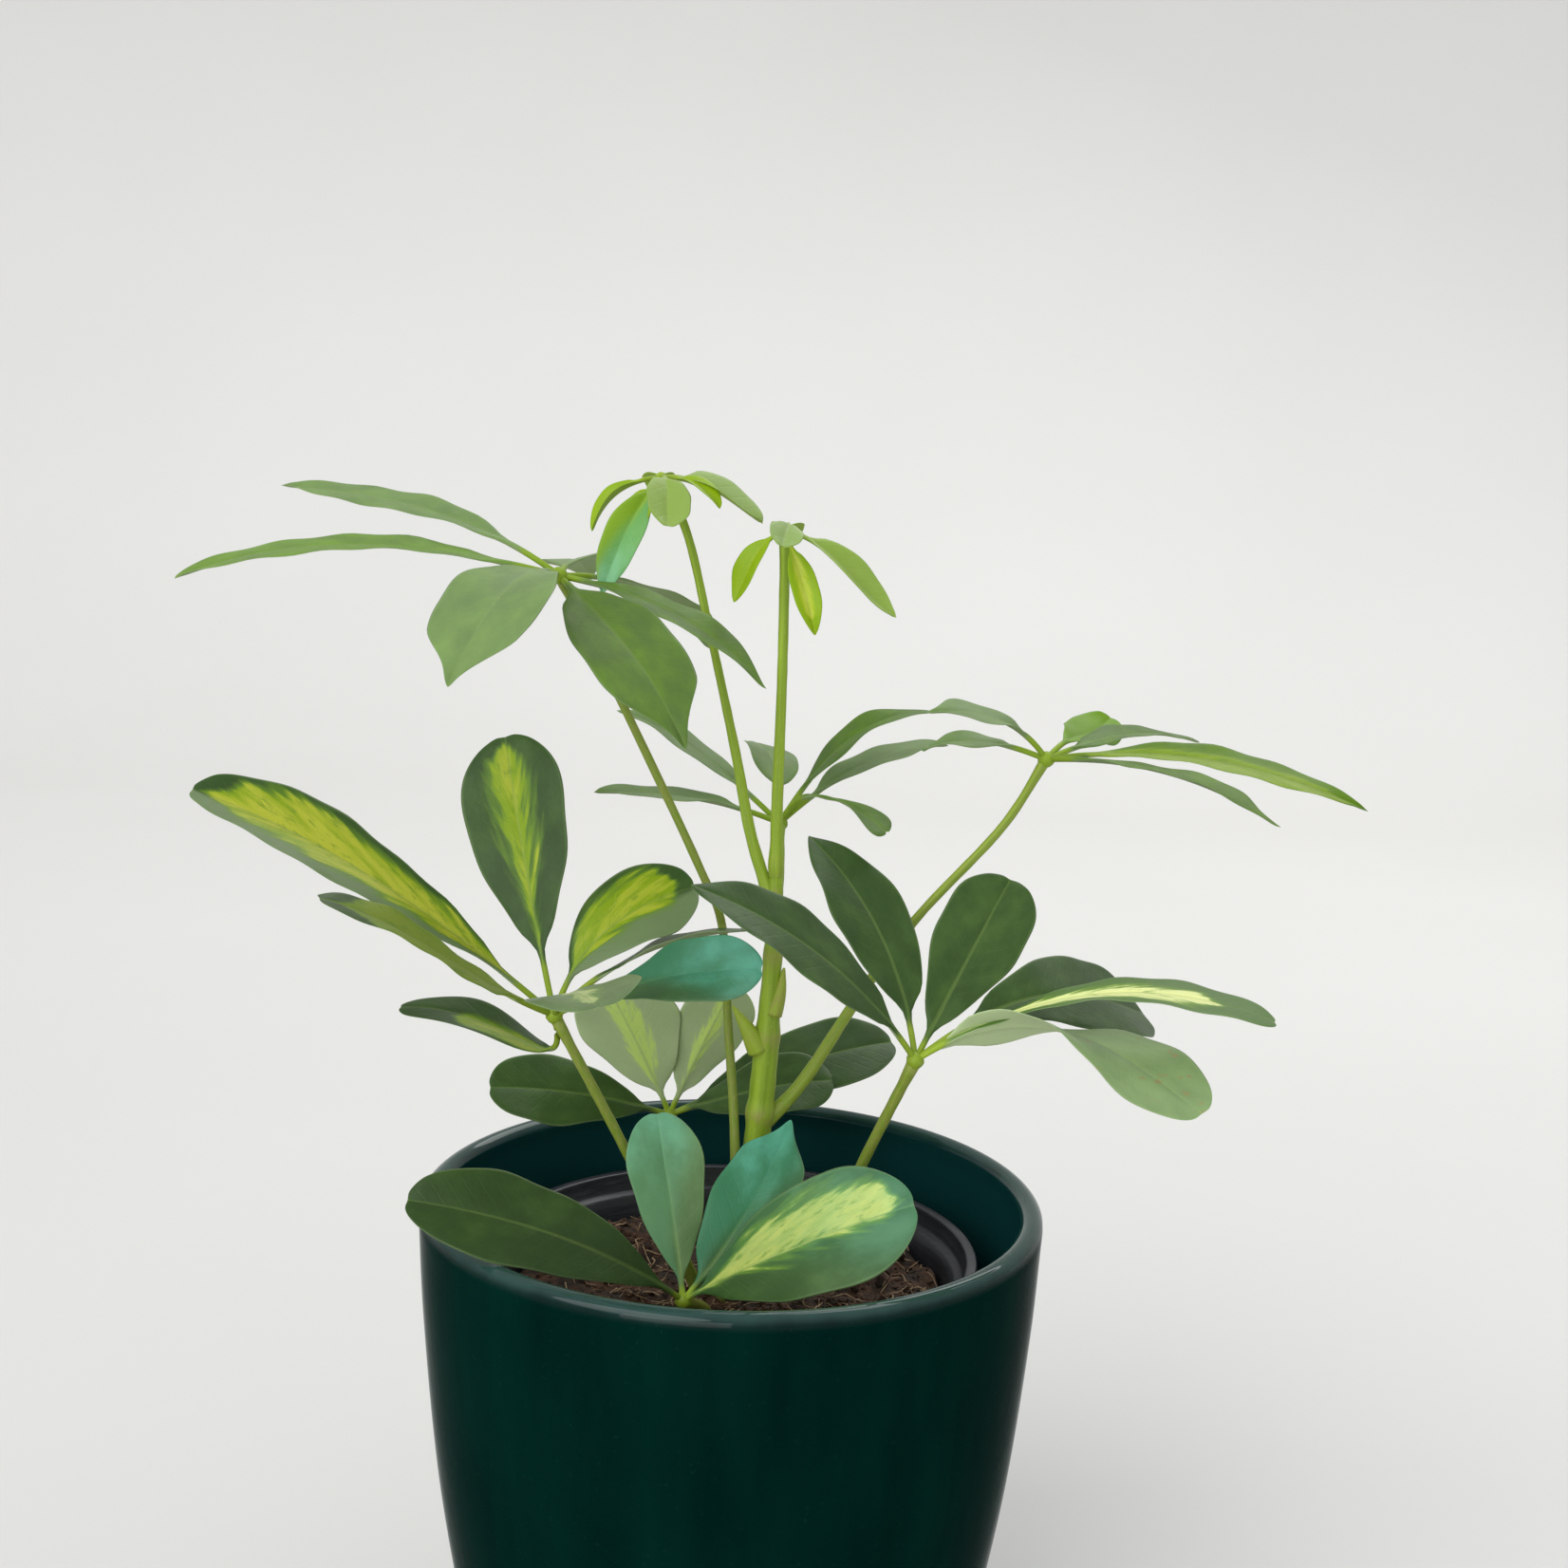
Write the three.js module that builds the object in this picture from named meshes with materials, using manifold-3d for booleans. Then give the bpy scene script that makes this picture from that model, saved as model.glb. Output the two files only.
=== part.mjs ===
// A dwarf umbrella tree in a glazed cover pot: the pot, the black nursery pot that stands in it,
// the potting mix, the stem, and nine compound leaves that each spread from a hub on a long stalk.
// Millimetres and degrees. The pot's axis is Z, and its flat foot stands on Z = 0.
import * as THREE from 'three';
import { mergeVertices } from 'three/addons/utils/BufferGeometryUtils.js';
import Module from 'manifold-3d';

const wasm = await Module();
wasm.setup();

// Driving dimensions
const seatGap = 0.3; // between pieces that touch
const potHeight = 135;
const potRimRadius = 75;
const potFootRadius = 51;
const potWall = { rim: 5.5, foot: 7 };
const potFloor = 7;
const potSides = 48;
const nurseryRimHeight = 121;
const nurseryRimRadius = 60;
const nurseryStepRadius = 54.6; // the side's outer radius where it meets the rim's underside
const nurseryFootRadius = 41;
const nurseryWall = 1.3;
const nurserySides = 36;
const drainHoleRadius = 4;
const drainHoleCount = 5;
const drainHoleCircle = 26;
const soilHeight = 111;
const soilSides = 30;
const rootDepth = 14; // how far a leaf stalk stands in the potting mix
const lumpHeight = 0.6; // of the potting mix's uneven top
const stemDepth = 34;
const bladeThickness = 0.8;
const leafletStalkThickness = 1.4;
const ribThickness = 0.5; // added below the blade along its midrib
const edgeWave = 0.5;
const roundTip = { half: 0.2, notch: 0.06 }; // as shares of the blade's half width
const outlines = { // how a blade widens from its base and closes at its tip, and how drawn out that is
  obovate: { near: 1.05, far: 0.5, drawn: 0 },
  broad: { near: 0.6, far: 0.5, drawn: 0 },
  pointed: { near: 0.95, far: 0.85, drawn: 0 },
  drip: { near: 0.85, far: 0.7, drawn: 0.55 },
  club: { near: 4, far: 0.45, drawn: 0 },
  spoon: { near: 1.3, far: 0.4, drawn: 0 },
};
const hubRadius = { mature: 2, young: 1.3 };

// The stem: a point on its middle and its radius, from its buried end up to the last fork
const stemPath = [[3, 0, soilHeight - stemDepth], [3, 0, soilHeight], [4.8, 0.4, 138], [6, 0.4, 156],
  [7, 0, 174], [7.6, 0, 194], [7.6, 0, 215]];
const stemRadius = { foot: 3.6, middle: 3.1, top: 1.6 };
const stemMiddleHeight = 160;
const jointSpread = 2.6;
const stemJoints = [ // rings where leaves leave the stem
  { height: 155, swell: 0.5 }, { height: 174, swell: 0.4 }, { height: 194, swell: 0.35 },
  { height: 209, swell: 0.3 }];
const stipules = [ // pointed scales left at the joints
  { from: [5, -1, 173], to: [-1.5, -2.5, 181.5], radius: 1.7 },
  { from: [8.3, -1, 181], to: [10.6, -1.5, 191], radius: 1.7 }];

const green = { mature: 0x3f6a3a, dark: 0x2f5533, pale: 0x7d9c72, young: 0x9cc22e, stalk: 0x8a9e35 };

// The compound leaves. heading is counted from +X towards +Y, rise is above the horizontal, and
// reach is from the hub to the tip. arch lifts the blade's near and far parts off that line, lead
// says how far along it they lie and sway moves them sideways. roll and twist turn the blade about
// the line, and fold raises its edges.
const leaves = [
  {
    name: 'upper_left', colour: green.pale, hub: [-44, -10, 283], facing: [-0.15, -0.25, 0.95],
    root: [-2, -8],
    path: [[0.5, -4.5, 140], [-2.5, 0.5, 177], [-5, 0.5, 202], [-10, -1, 214], [-34, -6, 263]],
    stalkRadius: [1.3, 1.0], petiolule: 10, width: 19, fold: 0.12, outline: 'drip',
    leaflets: [
      { heading: 162.5, rise: 13.5, reach: 73.5, arch: [10, 5.5], roll: -3, width: 11, outline: 'pointed' },
      { heading: -171, rise: -2, reach: 85, arch: [8, 12], width: 12, outline: 'broad' },
      { heading: -108, rise: -20, reach: 58, arch: [13.5, 9.5], roll: -8, width: 23.5, petiolule: 6.5 },
      { heading: -51, rise: -33, reach: 60, arch: [3, 11], width: 22, petiolule: 4 },
      { heading: -5, rise: -26, reach: 53.5, arch: [6, 8], roll: -4, width: 14, petiolule: 5 },
      { heading: -30, rise: -38, reach: 46, arch: [1, 3], width: 7, petiolule: 5 },
      { heading: 52, rise: -20, reach: 58, arch: [7, 9], width: 17 },
      { heading: 88, rise: -5, reach: 56, arch: [4, 8], width: 20 },
    ],
  },
  {
    name: 'crown_left', colour: green.young, hub: [-22.5, 5, 305.5], facing: [0, -0.2, 1],
    stem: 205, path: [[1.5, 2, 222], [-3, 3.5, 242], [-10.5, 5, 272], [-16.5, 5, 294]],
    stalkRadius: [1.5, 1.0], petiolule: 4, width: 10, fold: 0.35, outline: 'pointed', small: true,
    leaflets: [
      { heading: -166, rise: -39, reach: 20.5, arch: [5, 5], width: 5, fold: 0.7 },
      { heading: -140, rise: -59, reach: 31, arch: [9, 8], width: 9, fold: 0.45, roll: -30 },
      { heading: -118, rise: -54, reach: 20, arch: [4, 4], width: 7, fold: 0.6 },
      { heading: -80, rise: -30.5, reach: 20.5, arch: [6.5, -1], width: 10.5, roll: -11, outline: 'broad' },
      { heading: -26, rise: -22, reach: 17, arch: [3, 4], width: 6.5 },
      { heading: 5, rise: -22, reach: 26, arch: [5.5, 1.5], width: 12, roll: 4.5, outline: 'broad' },
      { heading: 95, rise: -16, reach: 22, arch: [3, 4], width: 8 },
    ],
  },
  {
    name: 'crown_right', colour: green.young, hub: [6.8, 0, 294.6], facing: [0, -0.15, 1],
    stem: 216, path: [[7.3, 0, 228], [7.3, 0, 262]],
    stalkRadius: [1.5, 1.2], petiolule: 4, width: 9, fold: 0.4, outline: 'pointed', small: true,
    leaflets: [
      { heading: -160, rise: -54, reach: 20.5, arch: [6.5, 1], width: 7, roll: -16, petiolule: 3 },
      { heading: -50, rise: -62.5, reach: 26, arch: [2, 5], width: 6.5, roll: 21 },
      { heading: -9, rise: -35, reach: 32.5, arch: [6, -1.5], width: 11, roll: 10 },
      { heading: -92, rise: -10, reach: 16, arch: [5.5, 1], width: 8, roll: -17, outline: 'obovate' },
      { heading: 88, rise: -14, reach: 20, arch: [3, 4], width: 8 },
    ],
  },
  {
    name: 'upper_right', colour: green.mature, hub: [72, 18, 241], facing: [0.1, -0.25, 0.95],
    stem: 151, path: [[15, 3, 161], [29, 8, 183], [42, 14, 201], [63, 18, 225]],
    stalkRadius: [1.7, 1.1], petiolule: 8, width: 17, fold: 0.15, outline: 'drip',
    leaflets: [
      { heading: -157, rise: 20, reach: 35, arch: [7, 6], width: 12 },
      { heading: 165, rise: 0, reach: 31, arch: [4, 5], width: 10 },
      {
        heading: 62, rise: 7.5, reach: 45.5, arch: [7, -5], width: 13.5, roll: 12, fold: 0.05,
        outline: 'obovate',
      },
      { heading: -14, rise: -5, reach: 76.5, arch: [9, 9], width: 12.5, roll: 4, outline: 'pointed' },
      { heading: -42, rise: -6, reach: 65, arch: [6, 7], width: 11, roll: -10 },
      { heading: 42, rise: 0, reach: 60, arch: [5, 6], width: 13, roll: -10 },
    ],
  },
  {
    name: 'rear_upper', colour: green.pale, hub: [8, 28, 221], facing: [0, -0.1, 1],
    stem: 196, path: [[8, 6, 203], [8.5, 15, 212]],
    stalkRadius: [1.5, 1.1], petiolule: 9, width: 13, fold: 0.15, outline: 'pointed',
    leaflets: [
      { heading: -170, rise: 9, reach: 47, arch: [4, 3], width: 12 },
      { heading: 158, rise: 28, reach: 52, arch: [3, 6], width: 11 },
      { heading: 103.5, rise: 26.5, reach: 35, arch: [6, 6.5], width: 14.5, roll: 18 },
      { heading: 15, rise: 36, reach: 48, arch: [7, 12], width: 13 },
      { heading: 31, rise: 19, reach: 53, arch: [6, 8], width: 12 },
      {
        heading: -35.5, rise: 3.5, reach: 32, arch: [14, 9], sway: [1, 2.4], width: 11, roll: 4.5,
        outline: 'club',
      },
    ],
  },
  {
    name: 'right', colour: green.dark, hub: [41, -25, 177], facing: [0.2, -0.45, 0.87],
    root: [17, -4], path: [[30, -14, 147]],
    stalkRadius: [1.8, 1.3], petiolule: 8, width: 22, fold: 0.08, outline: 'obovate',
    leaflets: [
      { heading: -162, rise: 38, reach: 69, arch: [8, 9], width: 21, outline: 'pointed' },
      { heading: 127, rise: 46, reach: 62, arch: [5, 5], width: 20, sway: [5, 5], outline: 'pointed' },
      { heading: 56, rise: 41, reach: 55, arch: [3, 2], width: 21.5, petiolule: 5 },
      { heading: 31.5, rise: 3, reach: 67.5, arch: [27.5, 12.5], width: 25, roll: 5 },
      { heading: -9, rise: 11, reach: 81, arch: [13.5, 16], width: 18, roll: -22, outline: 'spoon' },
      {
        heading: -28.5, rise: 0, reach: 68, arch: [23, 13], sway: [6, 0], width: 26, roll: -72, twist: 83,
        petiolule: 3.4, outline: 'broad',
      },
    ],
  },
  {
    name: 'left', colour: green.mature, hub: [-42, -20, 183], facing: [-0.3, -0.4, 0.87],
    root: [-7, -5], path: [[-25, -12, 148]],
    stalkRadius: [1.7, 1.2], petiolule: 12, width: 23, fold: 0.12, outline: 'obovate',
    leaflets: [
      { heading: -169, rise: 33, reach: 96, arch: [6, 10], width: 20.5, fold: 0.28 },
      { heading: -136, rise: 29.5, reach: 72, arch: [-2.5, 5], width: 12.5, roll: -19, outline: 'broad' },
      {
        heading: 172, rise: -1.5, reach: 37, arch: [-22.5, 3], lead: [-0.07, 0.3], width: 12, roll: 9,
        petiolule: 9,
      },
      { heading: 121, rise: 63, reach: 68, arch: [3, 2], width: 25 },
      {
        heading: 29, rise: 38, reach: 45, arch: [6, 5], width: 22, roll: 20, sway: [-7, -6],
        petiolule: 7,
      },
      { heading: 16, rise: 21, reach: 52.5, arch: [8, 7], width: 14, roll: -30 },
      { heading: -22, rise: 19, reach: 54.5, arch: [4, 5], width: 16, twist: 40, fold: 0.25 },
      { heading: -74, rise: 17, reach: 54.5, arch: [6, 5], width: 25, roll: -17 },
    ],
  },
  {
    name: 'rear_low', colour: green.pale, hub: [-18, 45, 139], facing: [0, 0.9, 0.35],
    root: [-11, 21], path: [[-15, 35, 125]],
    stalkRadius: [1.6, 1.2], petiolule: 5, width: 22, fold: 0.08, outline: 'obovate',
    leaflets: [
      { heading: -158, rise: 13, reach: 50, arch: [4, 5], width: 21, roll: -105 },
      { heading: -136, rise: 60, reach: 44, arch: [3, 2], width: 27 },
      { heading: -40, rise: 62, reach: 44, arch: [3, 2], width: 19 },
      { heading: 2, rise: 14, reach: 44, arch: [3, 4], width: 20, roll: 105 },
      { heading: 18, rise: 15, reach: 64, arch: [4, 6], width: 23, roll: 105 },
    ],
  },
  {
    name: 'front_low', colour: green.mature, hub: [-10, -27, 118], facing: [0.1, -0.75, 0.65],
    root: [-5, -13], path: [[-7, -20, 114]],
    stalkRadius: [1.6, 1.4], petiolule: 4, width: 21, fold: 0.1, outline: 'obovate',
    leaflets: [
      { heading: -164, rise: 24, reach: 70, arch: [11, 11], width: 22, roll: 8 },
      { heading: 115, rise: 63, reach: 44, arch: [4, 3], width: 18, petiolule: 3 },
      { heading: 42, rise: 50, reach: 49, arch: [4, 4], width: 19, sway: [3, 3], outline: 'drip' },
      { heading: -16, rise: 30, reach: 62, arch: [6, 6], width: 27, petiolule: 3 },
    ],
  },
];

const vector = ([x, y, z]) => new THREE.Vector3(x, y, z);
const mix = THREE.MathUtils.lerp;
const smooth = THREE.MathUtils.smoothstep;

function solidOf(geometry) {
  const bare = geometry.clone();
  bare.deleteAttribute('normal');
  bare.deleteAttribute('uv');
  const merged = mergeVertices(bare, 1e-4);
  return new wasm.Manifold(new wasm.Mesh({
    numProp: 3,
    vertProperties: new Float32Array(merged.attributes.position.array),
    triVerts: new Uint32Array(merged.index.array),
  }));
}

function geometryOf(solid) {
  const { vertProperties, triVerts } = solid.getMesh();
  const geometry = new THREE.BufferGeometry();
  geometry.setAttribute('position', new THREE.BufferAttribute(vertProperties, 3));
  geometry.setIndex(new THREE.BufferAttribute(triVerts, 1));
  geometry.computeVertexNormals();
  return geometry;
}

const joined = (solids) => solids.reduce((all, one) => all.add(one));

function meshOf(name, geometry, colour, roughness) {
  const material = new THREE.MeshStandardMaterial({ color: colour, roughness, metalness: 0 });
  const mesh = new THREE.Mesh(geometry, material);
  mesh.name = name;
  return mesh;
}

// A shape turned about Z. The profile's points are [radius, height], closed on the axis.
function turned(profile, sides) {
  const points = profile.map(([radius, height]) => new THREE.Vector2(radius, height));
  return new THREE.LatheGeometry(points, sides).rotateX(Math.PI / 2);
}

// A round stalk along a path, which is a lathed rod bent so that its axis follows the curve.
function stalk(points, radiusAt, steps, sides) {
  const curve = new THREE.CatmullRomCurve3(points.map(vector), false, 'centripetal');
  const frames = curve.computeFrenetFrames(steps);
  const profile = [new THREE.Vector2(0, 0)];
  for (let i = 0; i <= steps; i += 1) profile.push(new THREE.Vector2(radiusAt(i / steps), i));
  profile.push(new THREE.Vector2(0, steps));
  const rod = new THREE.LatheGeometry(profile, sides);
  const place = rod.attributes.position;
  for (let k = 0; k < place.count; k += 1) {
    const ring = Math.round(place.getY(k));
    const point = curve.getPointAt(ring / steps)
      .addScaledVector(frames.binormals[ring], place.getX(k))
      .addScaledVector(frames.normals[ring], place.getZ(k));
    place.setXYZ(k, point.x, point.y, point.z);
  }
  return rod;
}

function knot([x, y, z], radius) {
  return new THREE.IcosahedronGeometry(radius, 0).translate(x, y, z);
}

// Half the blade's width along its length, as a share of the widest.
function outlineAt(share, { near, far, drawn }) {
  const widest = near / (near + far);
  const peak = widest ** near * (1 - widest) ** far;
  return share ** near * (1 - share) ** far / peak * (1 - drawn * smooth(share, 0.75, 0.97));
}

// One leaflet, from the hub at the origin: a bare stalk that widens into a thin arched blade. Its
// upper and lower faces are split into triangles along the same diagonals.
function leafletGeometry(leaf, spec) {
  const outline = outlines[spec.outline ?? leaf.outline];
  const rounded = outline.far <= 0.5;
  const halfWidth = (spec.width ?? leaf.width) / 2;
  const fold = spec.fold ?? leaf.fold;
  const roll = THREE.MathUtils.degToRad(spec.roll ?? 0);
  const twist = THREE.MathUtils.degToRad(spec.twist ?? 0);
  const sway = spec.sway ?? [0, 0];
  const heading = THREE.MathUtils.degToRad(spec.heading);
  const rise = THREE.MathUtils.degToRad(spec.rise);
  const along = new THREE.Vector3(
    Math.cos(heading) * Math.cos(rise), Math.sin(heading) * Math.cos(rise), Math.sin(rise));
  const facing = vector(leaf.facing);
  const up = facing.addScaledVector(along, -facing.dot(along)).normalize().applyAxisAngle(along, roll);
  const aside = new THREE.Vector3().crossVectors(along, up);
  const control = (share, lift, shift) => along.clone().multiplyScalar(spec.reach * share)
    .addScaledVector(up, lift).addScaledVector(aside, shift);
  const lead = spec.lead ?? [1 / 3, 2 / 3];
  const curve = new THREE.CubicBezierCurve3(control(0, 0, 0), control(lead[0], spec.arch[0], sway[0]),
    control(lead[1], spec.arch[1], sway[1]), control(1, 0, 0));

  const bareShare = (spec.petiolule ?? leaf.petiolule) / spec.reach;
  const nearTip = rounded ? [0.9, 0.97, 1] : [0.9, 1];
  const bladeShares = leaf.small ? [0.15, 0.4, 0.7, ...nearTip.slice(-2)]
    : [0.07, 0.25, 0.5, 0.74, ...nearTip];
  const stations = [0, bareShare, ...bladeShares.map((share) => mix(bareShare, 1, share))];
  const columns = leaf.small ? [-1, 0, 1] : [-1, -0.5, 0, 0.5, 1];
  const stalkHalf = leaf.small ? 0.55 : 0.7;
  const endHalf = rounded ? roundTip.half * halfWidth : 0.5;
  const wave = leaf.small ? 0 : edgeWave;

  const positions = [];
  stations.forEach((station, row) => {
    const blade = THREE.MathUtils.clamp((station - bareShare) / (1 - bareShare), 0, 1);
    const last = row === stations.length - 1;
    const middle = curve.getPoint(station);
    const tangent = curve.getTangent(station);
    const normal = up.clone().applyAxisAngle(along, twist * blade);
    normal.addScaledVector(tangent, -normal.dot(tangent)).normalize();
    const side = new THREE.Vector3().crossVectors(tangent, normal);
    const half = last ? endHalf : Math.max(stalkHalf, halfWidth * outlineAt(blade, outline));
    const isBlade = smooth(blade, 0, 0.2);
    const edgeLift = wave * Math.sin(spec.heading + 9 * blade);
    for (const face of [1, -1]) {
      for (const column of columns) {
        const outward = Math.abs(column);
        const thickness = mix(leafletStalkThickness * (1 - outward / 2), bladeThickness, isBlade);
        const rib = face < 0 && column === 0 ? ribThickness * isBlade : 0;
        const lift = (fold * half + edgeLift) * outward * isBlade;
        const pull = last && rounded ? roundTip.notch * (1 - outward) * halfWidth : 0;
        const point = middle.clone().addScaledVector(side, column * half)
          .addScaledVector(normal, lift + face * (thickness / 2 + rib))
          .addScaledVector(tangent, -pull);
        positions.push(point.x, point.y, point.z);
      }
    }
  });

  const count = columns.length;
  const upper = (row, column) => row * 2 * count + column;
  const lower = (row, column) => upper(row, column) + count;
  const index = [];
  const quad = (a, b, c, d) => index.push(a, b, c, a, c, d);
  const lastRow = stations.length - 1;
  for (let row = 0; row < lastRow; row += 1) {
    for (let column = 0; column < count - 1; column += 1) {
      const [next, beside] = [row + 1, column + 1];
      quad(upper(row, column), upper(row, beside), upper(next, beside), upper(next, column));
      index.push(lower(row, column), lower(next, beside), lower(row, beside));
      index.push(lower(row, column), lower(next, column), lower(next, beside));
    }
    const edge = count - 1;
    quad(upper(row, 0), upper(row + 1, 0), lower(row + 1, 0), lower(row, 0));
    quad(upper(row + 1, edge), upper(row, edge), lower(row, edge), lower(row + 1, edge));
  }
  for (let column = 0; column < count - 1; column += 1) {
    const beside = column + 1;
    quad(upper(0, column), lower(0, column), lower(0, beside), upper(0, beside));
    quad(upper(lastRow, column), upper(lastRow, beside), lower(lastRow, beside), lower(lastRow, column));
  }
  const geometry = new THREE.BufferGeometry();
  geometry.setAttribute('position', new THREE.BufferAttribute(new Float32Array(positions), 3));
  geometry.setIndex(index);
  return geometry;
}

// The stem's solid, or the same grown by a gap so that what sits against it can be cut clear.
function stemSolid(gap) {
  const [bottom, top] = [stemPath[0][2], stemPath[stemPath.length - 1][2]];
  const radiusAt = (share) => {
    const height = mix(bottom, top, share);
    const taper = height < stemMiddleHeight
      ? mix(stemRadius.foot, stemRadius.middle, smooth(height, soilHeight, stemMiddleHeight))
      : mix(stemRadius.middle, stemRadius.top, smooth(height, stemMiddleHeight, top));
    const swell = stemJoints.reduce((sum, joint) => sum + joint.swell
      * Math.exp(-(((height - joint.height) / jointSpread) ** 2)), 0);
    return taper + swell + gap;
  };
  const grown = { [bottom]: -gap, [top]: gap };
  const path = stemPath.map(([x, y, z]) => [x, y, z + (grown[z] ?? 0)]);
  const pieces = [solidOf(stalk(path, radiusAt, 28, 8))];
  for (const { from, to, radius } of stipules) {
    pieces.push(solidOf(stalk([from, to], (share) => gap + mix(radius, 0.5, share ** 1.3), 3, 6)));
  }
  return joined(pieces);
}

// A leaf's long stalk. It stands in the potting mix at its root, or sits against the stem.
function petioleSolid(leaf, gap) {
  const start = leaf.root
    ? [[...leaf.root, soilHeight - rootDepth - gap], [...leaf.root, soilHeight - 2]]
    : [stemPointAt(leaf.stem)];
  const [near, far] = leaf.stalkRadius;
  const radiusAt = (share) => gap + mix(near, far, smooth(share, 0, 0.6));
  const steps = leaf.path.length * 2 + (leaf.root ? 5 : 3);
  return solidOf(stalk([...start, ...leaf.path, leaf.hub], radiusAt, steps, 7));
}

function stemPointAt(height) {
  const above = stemPath.findIndex((point) => point[2] >= height);
  if (above < 0) return [...stemPath[stemPath.length - 1].slice(0, 2), height];
  const [low, high] = [stemPath[above - 1], stemPath[above]];
  const share = (height - low[2]) / (high[2] - low[2]);
  return [mix(low[0], high[0], share), mix(low[1], high[1], share), height];
}

const part = new THREE.Group();
part.name = 'potted_umbrella_plant';

// The cover pot: glazed, with a rounded lip and a plain flat foot. Its side is one smooth curve, and
// its wall thickens a little towards the foot.
const potSide = new THREE.SplineCurve([
  [potFootRadius + 0.8, 0.8], [54.6, 5], [60.8, 21], [68.7, 60], [73.6, 106],
  [potRimRadius, potHeight - 3.5],
].map(([radius, height]) => new THREE.Vector2(radius, height)));
const outside = potSide.getPoints(10).map((point) => [point.x, point.y]);
const wallAt = (height) => mix(potWall.foot, potWall.rim, height / potHeight);
const inside = outside.filter(([, height]) => height > 2 * potFloor && height < potHeight - 9)
  .map(([radius, height]) => [radius - wallAt(height), height]).reverse();
const mouthRadius = potRimRadius - potWall.rim;
const ceramicPot = turned([
  [0, 0], [potFootRadius - 1, 0], ...outside,
  [potRimRadius - 1, potHeight - 0.8], [potRimRadius - 2.7, potHeight],
  [mouthRadius + 0.8, potHeight - 0.7], [mouthRadius, potHeight - 2.7], ...inside,
  [48, potFloor + 3], [43, potFloor], [0, potFloor],
], potSides);
part.add(meshOf('ceramic_pot', ceramicPot, 0x0a3a32, 0.12));

// The nursery pot: thin, tapered, with a stepped rim and drain holes in its floor
const nurseryFoot = potFloor + seatGap;
const nurseryStepHeight = nurseryRimHeight - 8;
const nurseryInside = (height) => mix(nurseryFootRadius, nurseryStepRadius,
  (height - nurseryFoot) / (nurseryStepHeight - nurseryFoot)) - nurseryWall;
const nurseryShell = turned([
  [0, nurseryFoot], [nurseryFootRadius - 1, nurseryFoot], [nurseryFootRadius + 0.6, nurseryFoot + 1.2],
  [nurseryStepRadius, nurseryStepHeight], [nurseryRimRadius - 1.2, nurseryStepHeight + 0.5],
  [nurseryRimRadius, nurseryRimHeight - 0.8], [nurseryRimRadius - 0.7, nurseryRimHeight],
  [nurseryRimRadius - 2.3, nurseryRimHeight], [nurseryRimRadius - 3, nurseryRimHeight - 0.8],
  [nurseryRimRadius - 3.4, nurseryRimHeight - 4.4], [nurseryRimRadius - 5.2, nurseryRimHeight - 5.2],
  [nurseryInside(nurseryStepHeight), nurseryStepHeight],
  [nurseryInside(nurseryFoot + 1.6), nurseryFoot + 1.6], [0, nurseryFoot + 1.6],
], nurserySides);
let nurserySolid = solidOf(nurseryShell);
for (let i = 0; i < drainHoleCount; i += 1) {
  const angle = (i / drainHoleCount) * 2 * Math.PI;
  const drill = new THREE.CylinderGeometry(drainHoleRadius, drainHoleRadius, 12, 12).rotateX(Math.PI / 2)
    .translate(drainHoleCircle * Math.cos(angle), drainHoleCircle * Math.sin(angle), nurseryFoot);
  nurserySolid = nurserySolid.subtract(solidOf(drill));
}
part.add(meshOf('nursery_pot', geometryOf(nurserySolid), 0x15181b, 0.45));

// The stem and the leaves
const plant = new THREE.Group();
part.add(plant);
const stem = stemSolid(0);
const stemClear = stemSolid(seatGap);
plant.add(meshOf('main_stem', geometryOf(stem), green.stalk, 0.5));

const earlierStalks = [];
for (const leaf of leaves) {
  const knotRadius = leaf.small ? hubRadius.young : hubRadius.mature;
  const hubClear = solidOf(knot(leaf.hub, knotRadius + 2 * seatGap));
  const blades = leaf.leaflets.map((spec) => solidOf(leafletGeometry(leaf, spec)));
  const leaflets = joined([solidOf(knot([0, 0, 0], knotRadius)), ...blades]);
  const leafletsMesh = meshOf('leaflets_' + leaf.name, geometryOf(leaflets), leaf.colour, 0.4);
  leafletsMesh.position.set(...leaf.hub);

  let petiole = petioleSolid(leaf, 0).subtract(hubClear).subtract(stemClear);
  petiole = petiole.subtract(joined(blades).translate(leaf.hub));
  for (const other of leaf.stem ? earlierStalks : []) petiole = petiole.subtract(other);
  petiole = petiole.decompose().reduce((a, b) => (a.volume() > b.volume() ? a : b));
  if (leaf.stem) earlierStalks.push(petioleSolid(leaf, seatGap));
  plant.add(meshOf('petiole_' + leaf.name, geometryOf(petiole), green.stalk, 0.5));
  plant.add(leafletsMesh);
}

// The potting mix: it fills the nursery pot, its top is uneven, and the stalks stand in plain holes
const soilFoot = nurseryFoot + 2;
const soilRadiusAt = (height) => nurseryInside(height) - 2 * seatGap;
const soilTop = [38, 27, 16, 7, 0].map((radius) => [radius, soilHeight + lumpHeight * (1 - radius / 38)]);
const soilShape = turned([
  [0, soilFoot], [soilRadiusAt(soilFoot), soilFoot],
  [soilRadiusAt(soilHeight - 1.5), soilHeight - 1.5], [49, soilHeight - 0.4], ...soilTop,
], soilSides);
const soilPoints = soilShape.attributes.position;
for (let k = 0; k < soilPoints.count; k += 1) {
  const [x, y, z] = [soilPoints.getX(k), soilPoints.getY(k), soilPoints.getZ(k)];
  const lumps = Math.sin(x * 0.31 + 1) * Math.cos(y * 0.27) + Math.sin(x * 0.13 - y * 0.41);
  if (z > soilHeight - 1 && x * x + y * y > 1) soilPoints.setZ(k, z + lumpHeight * lumps);
}
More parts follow.
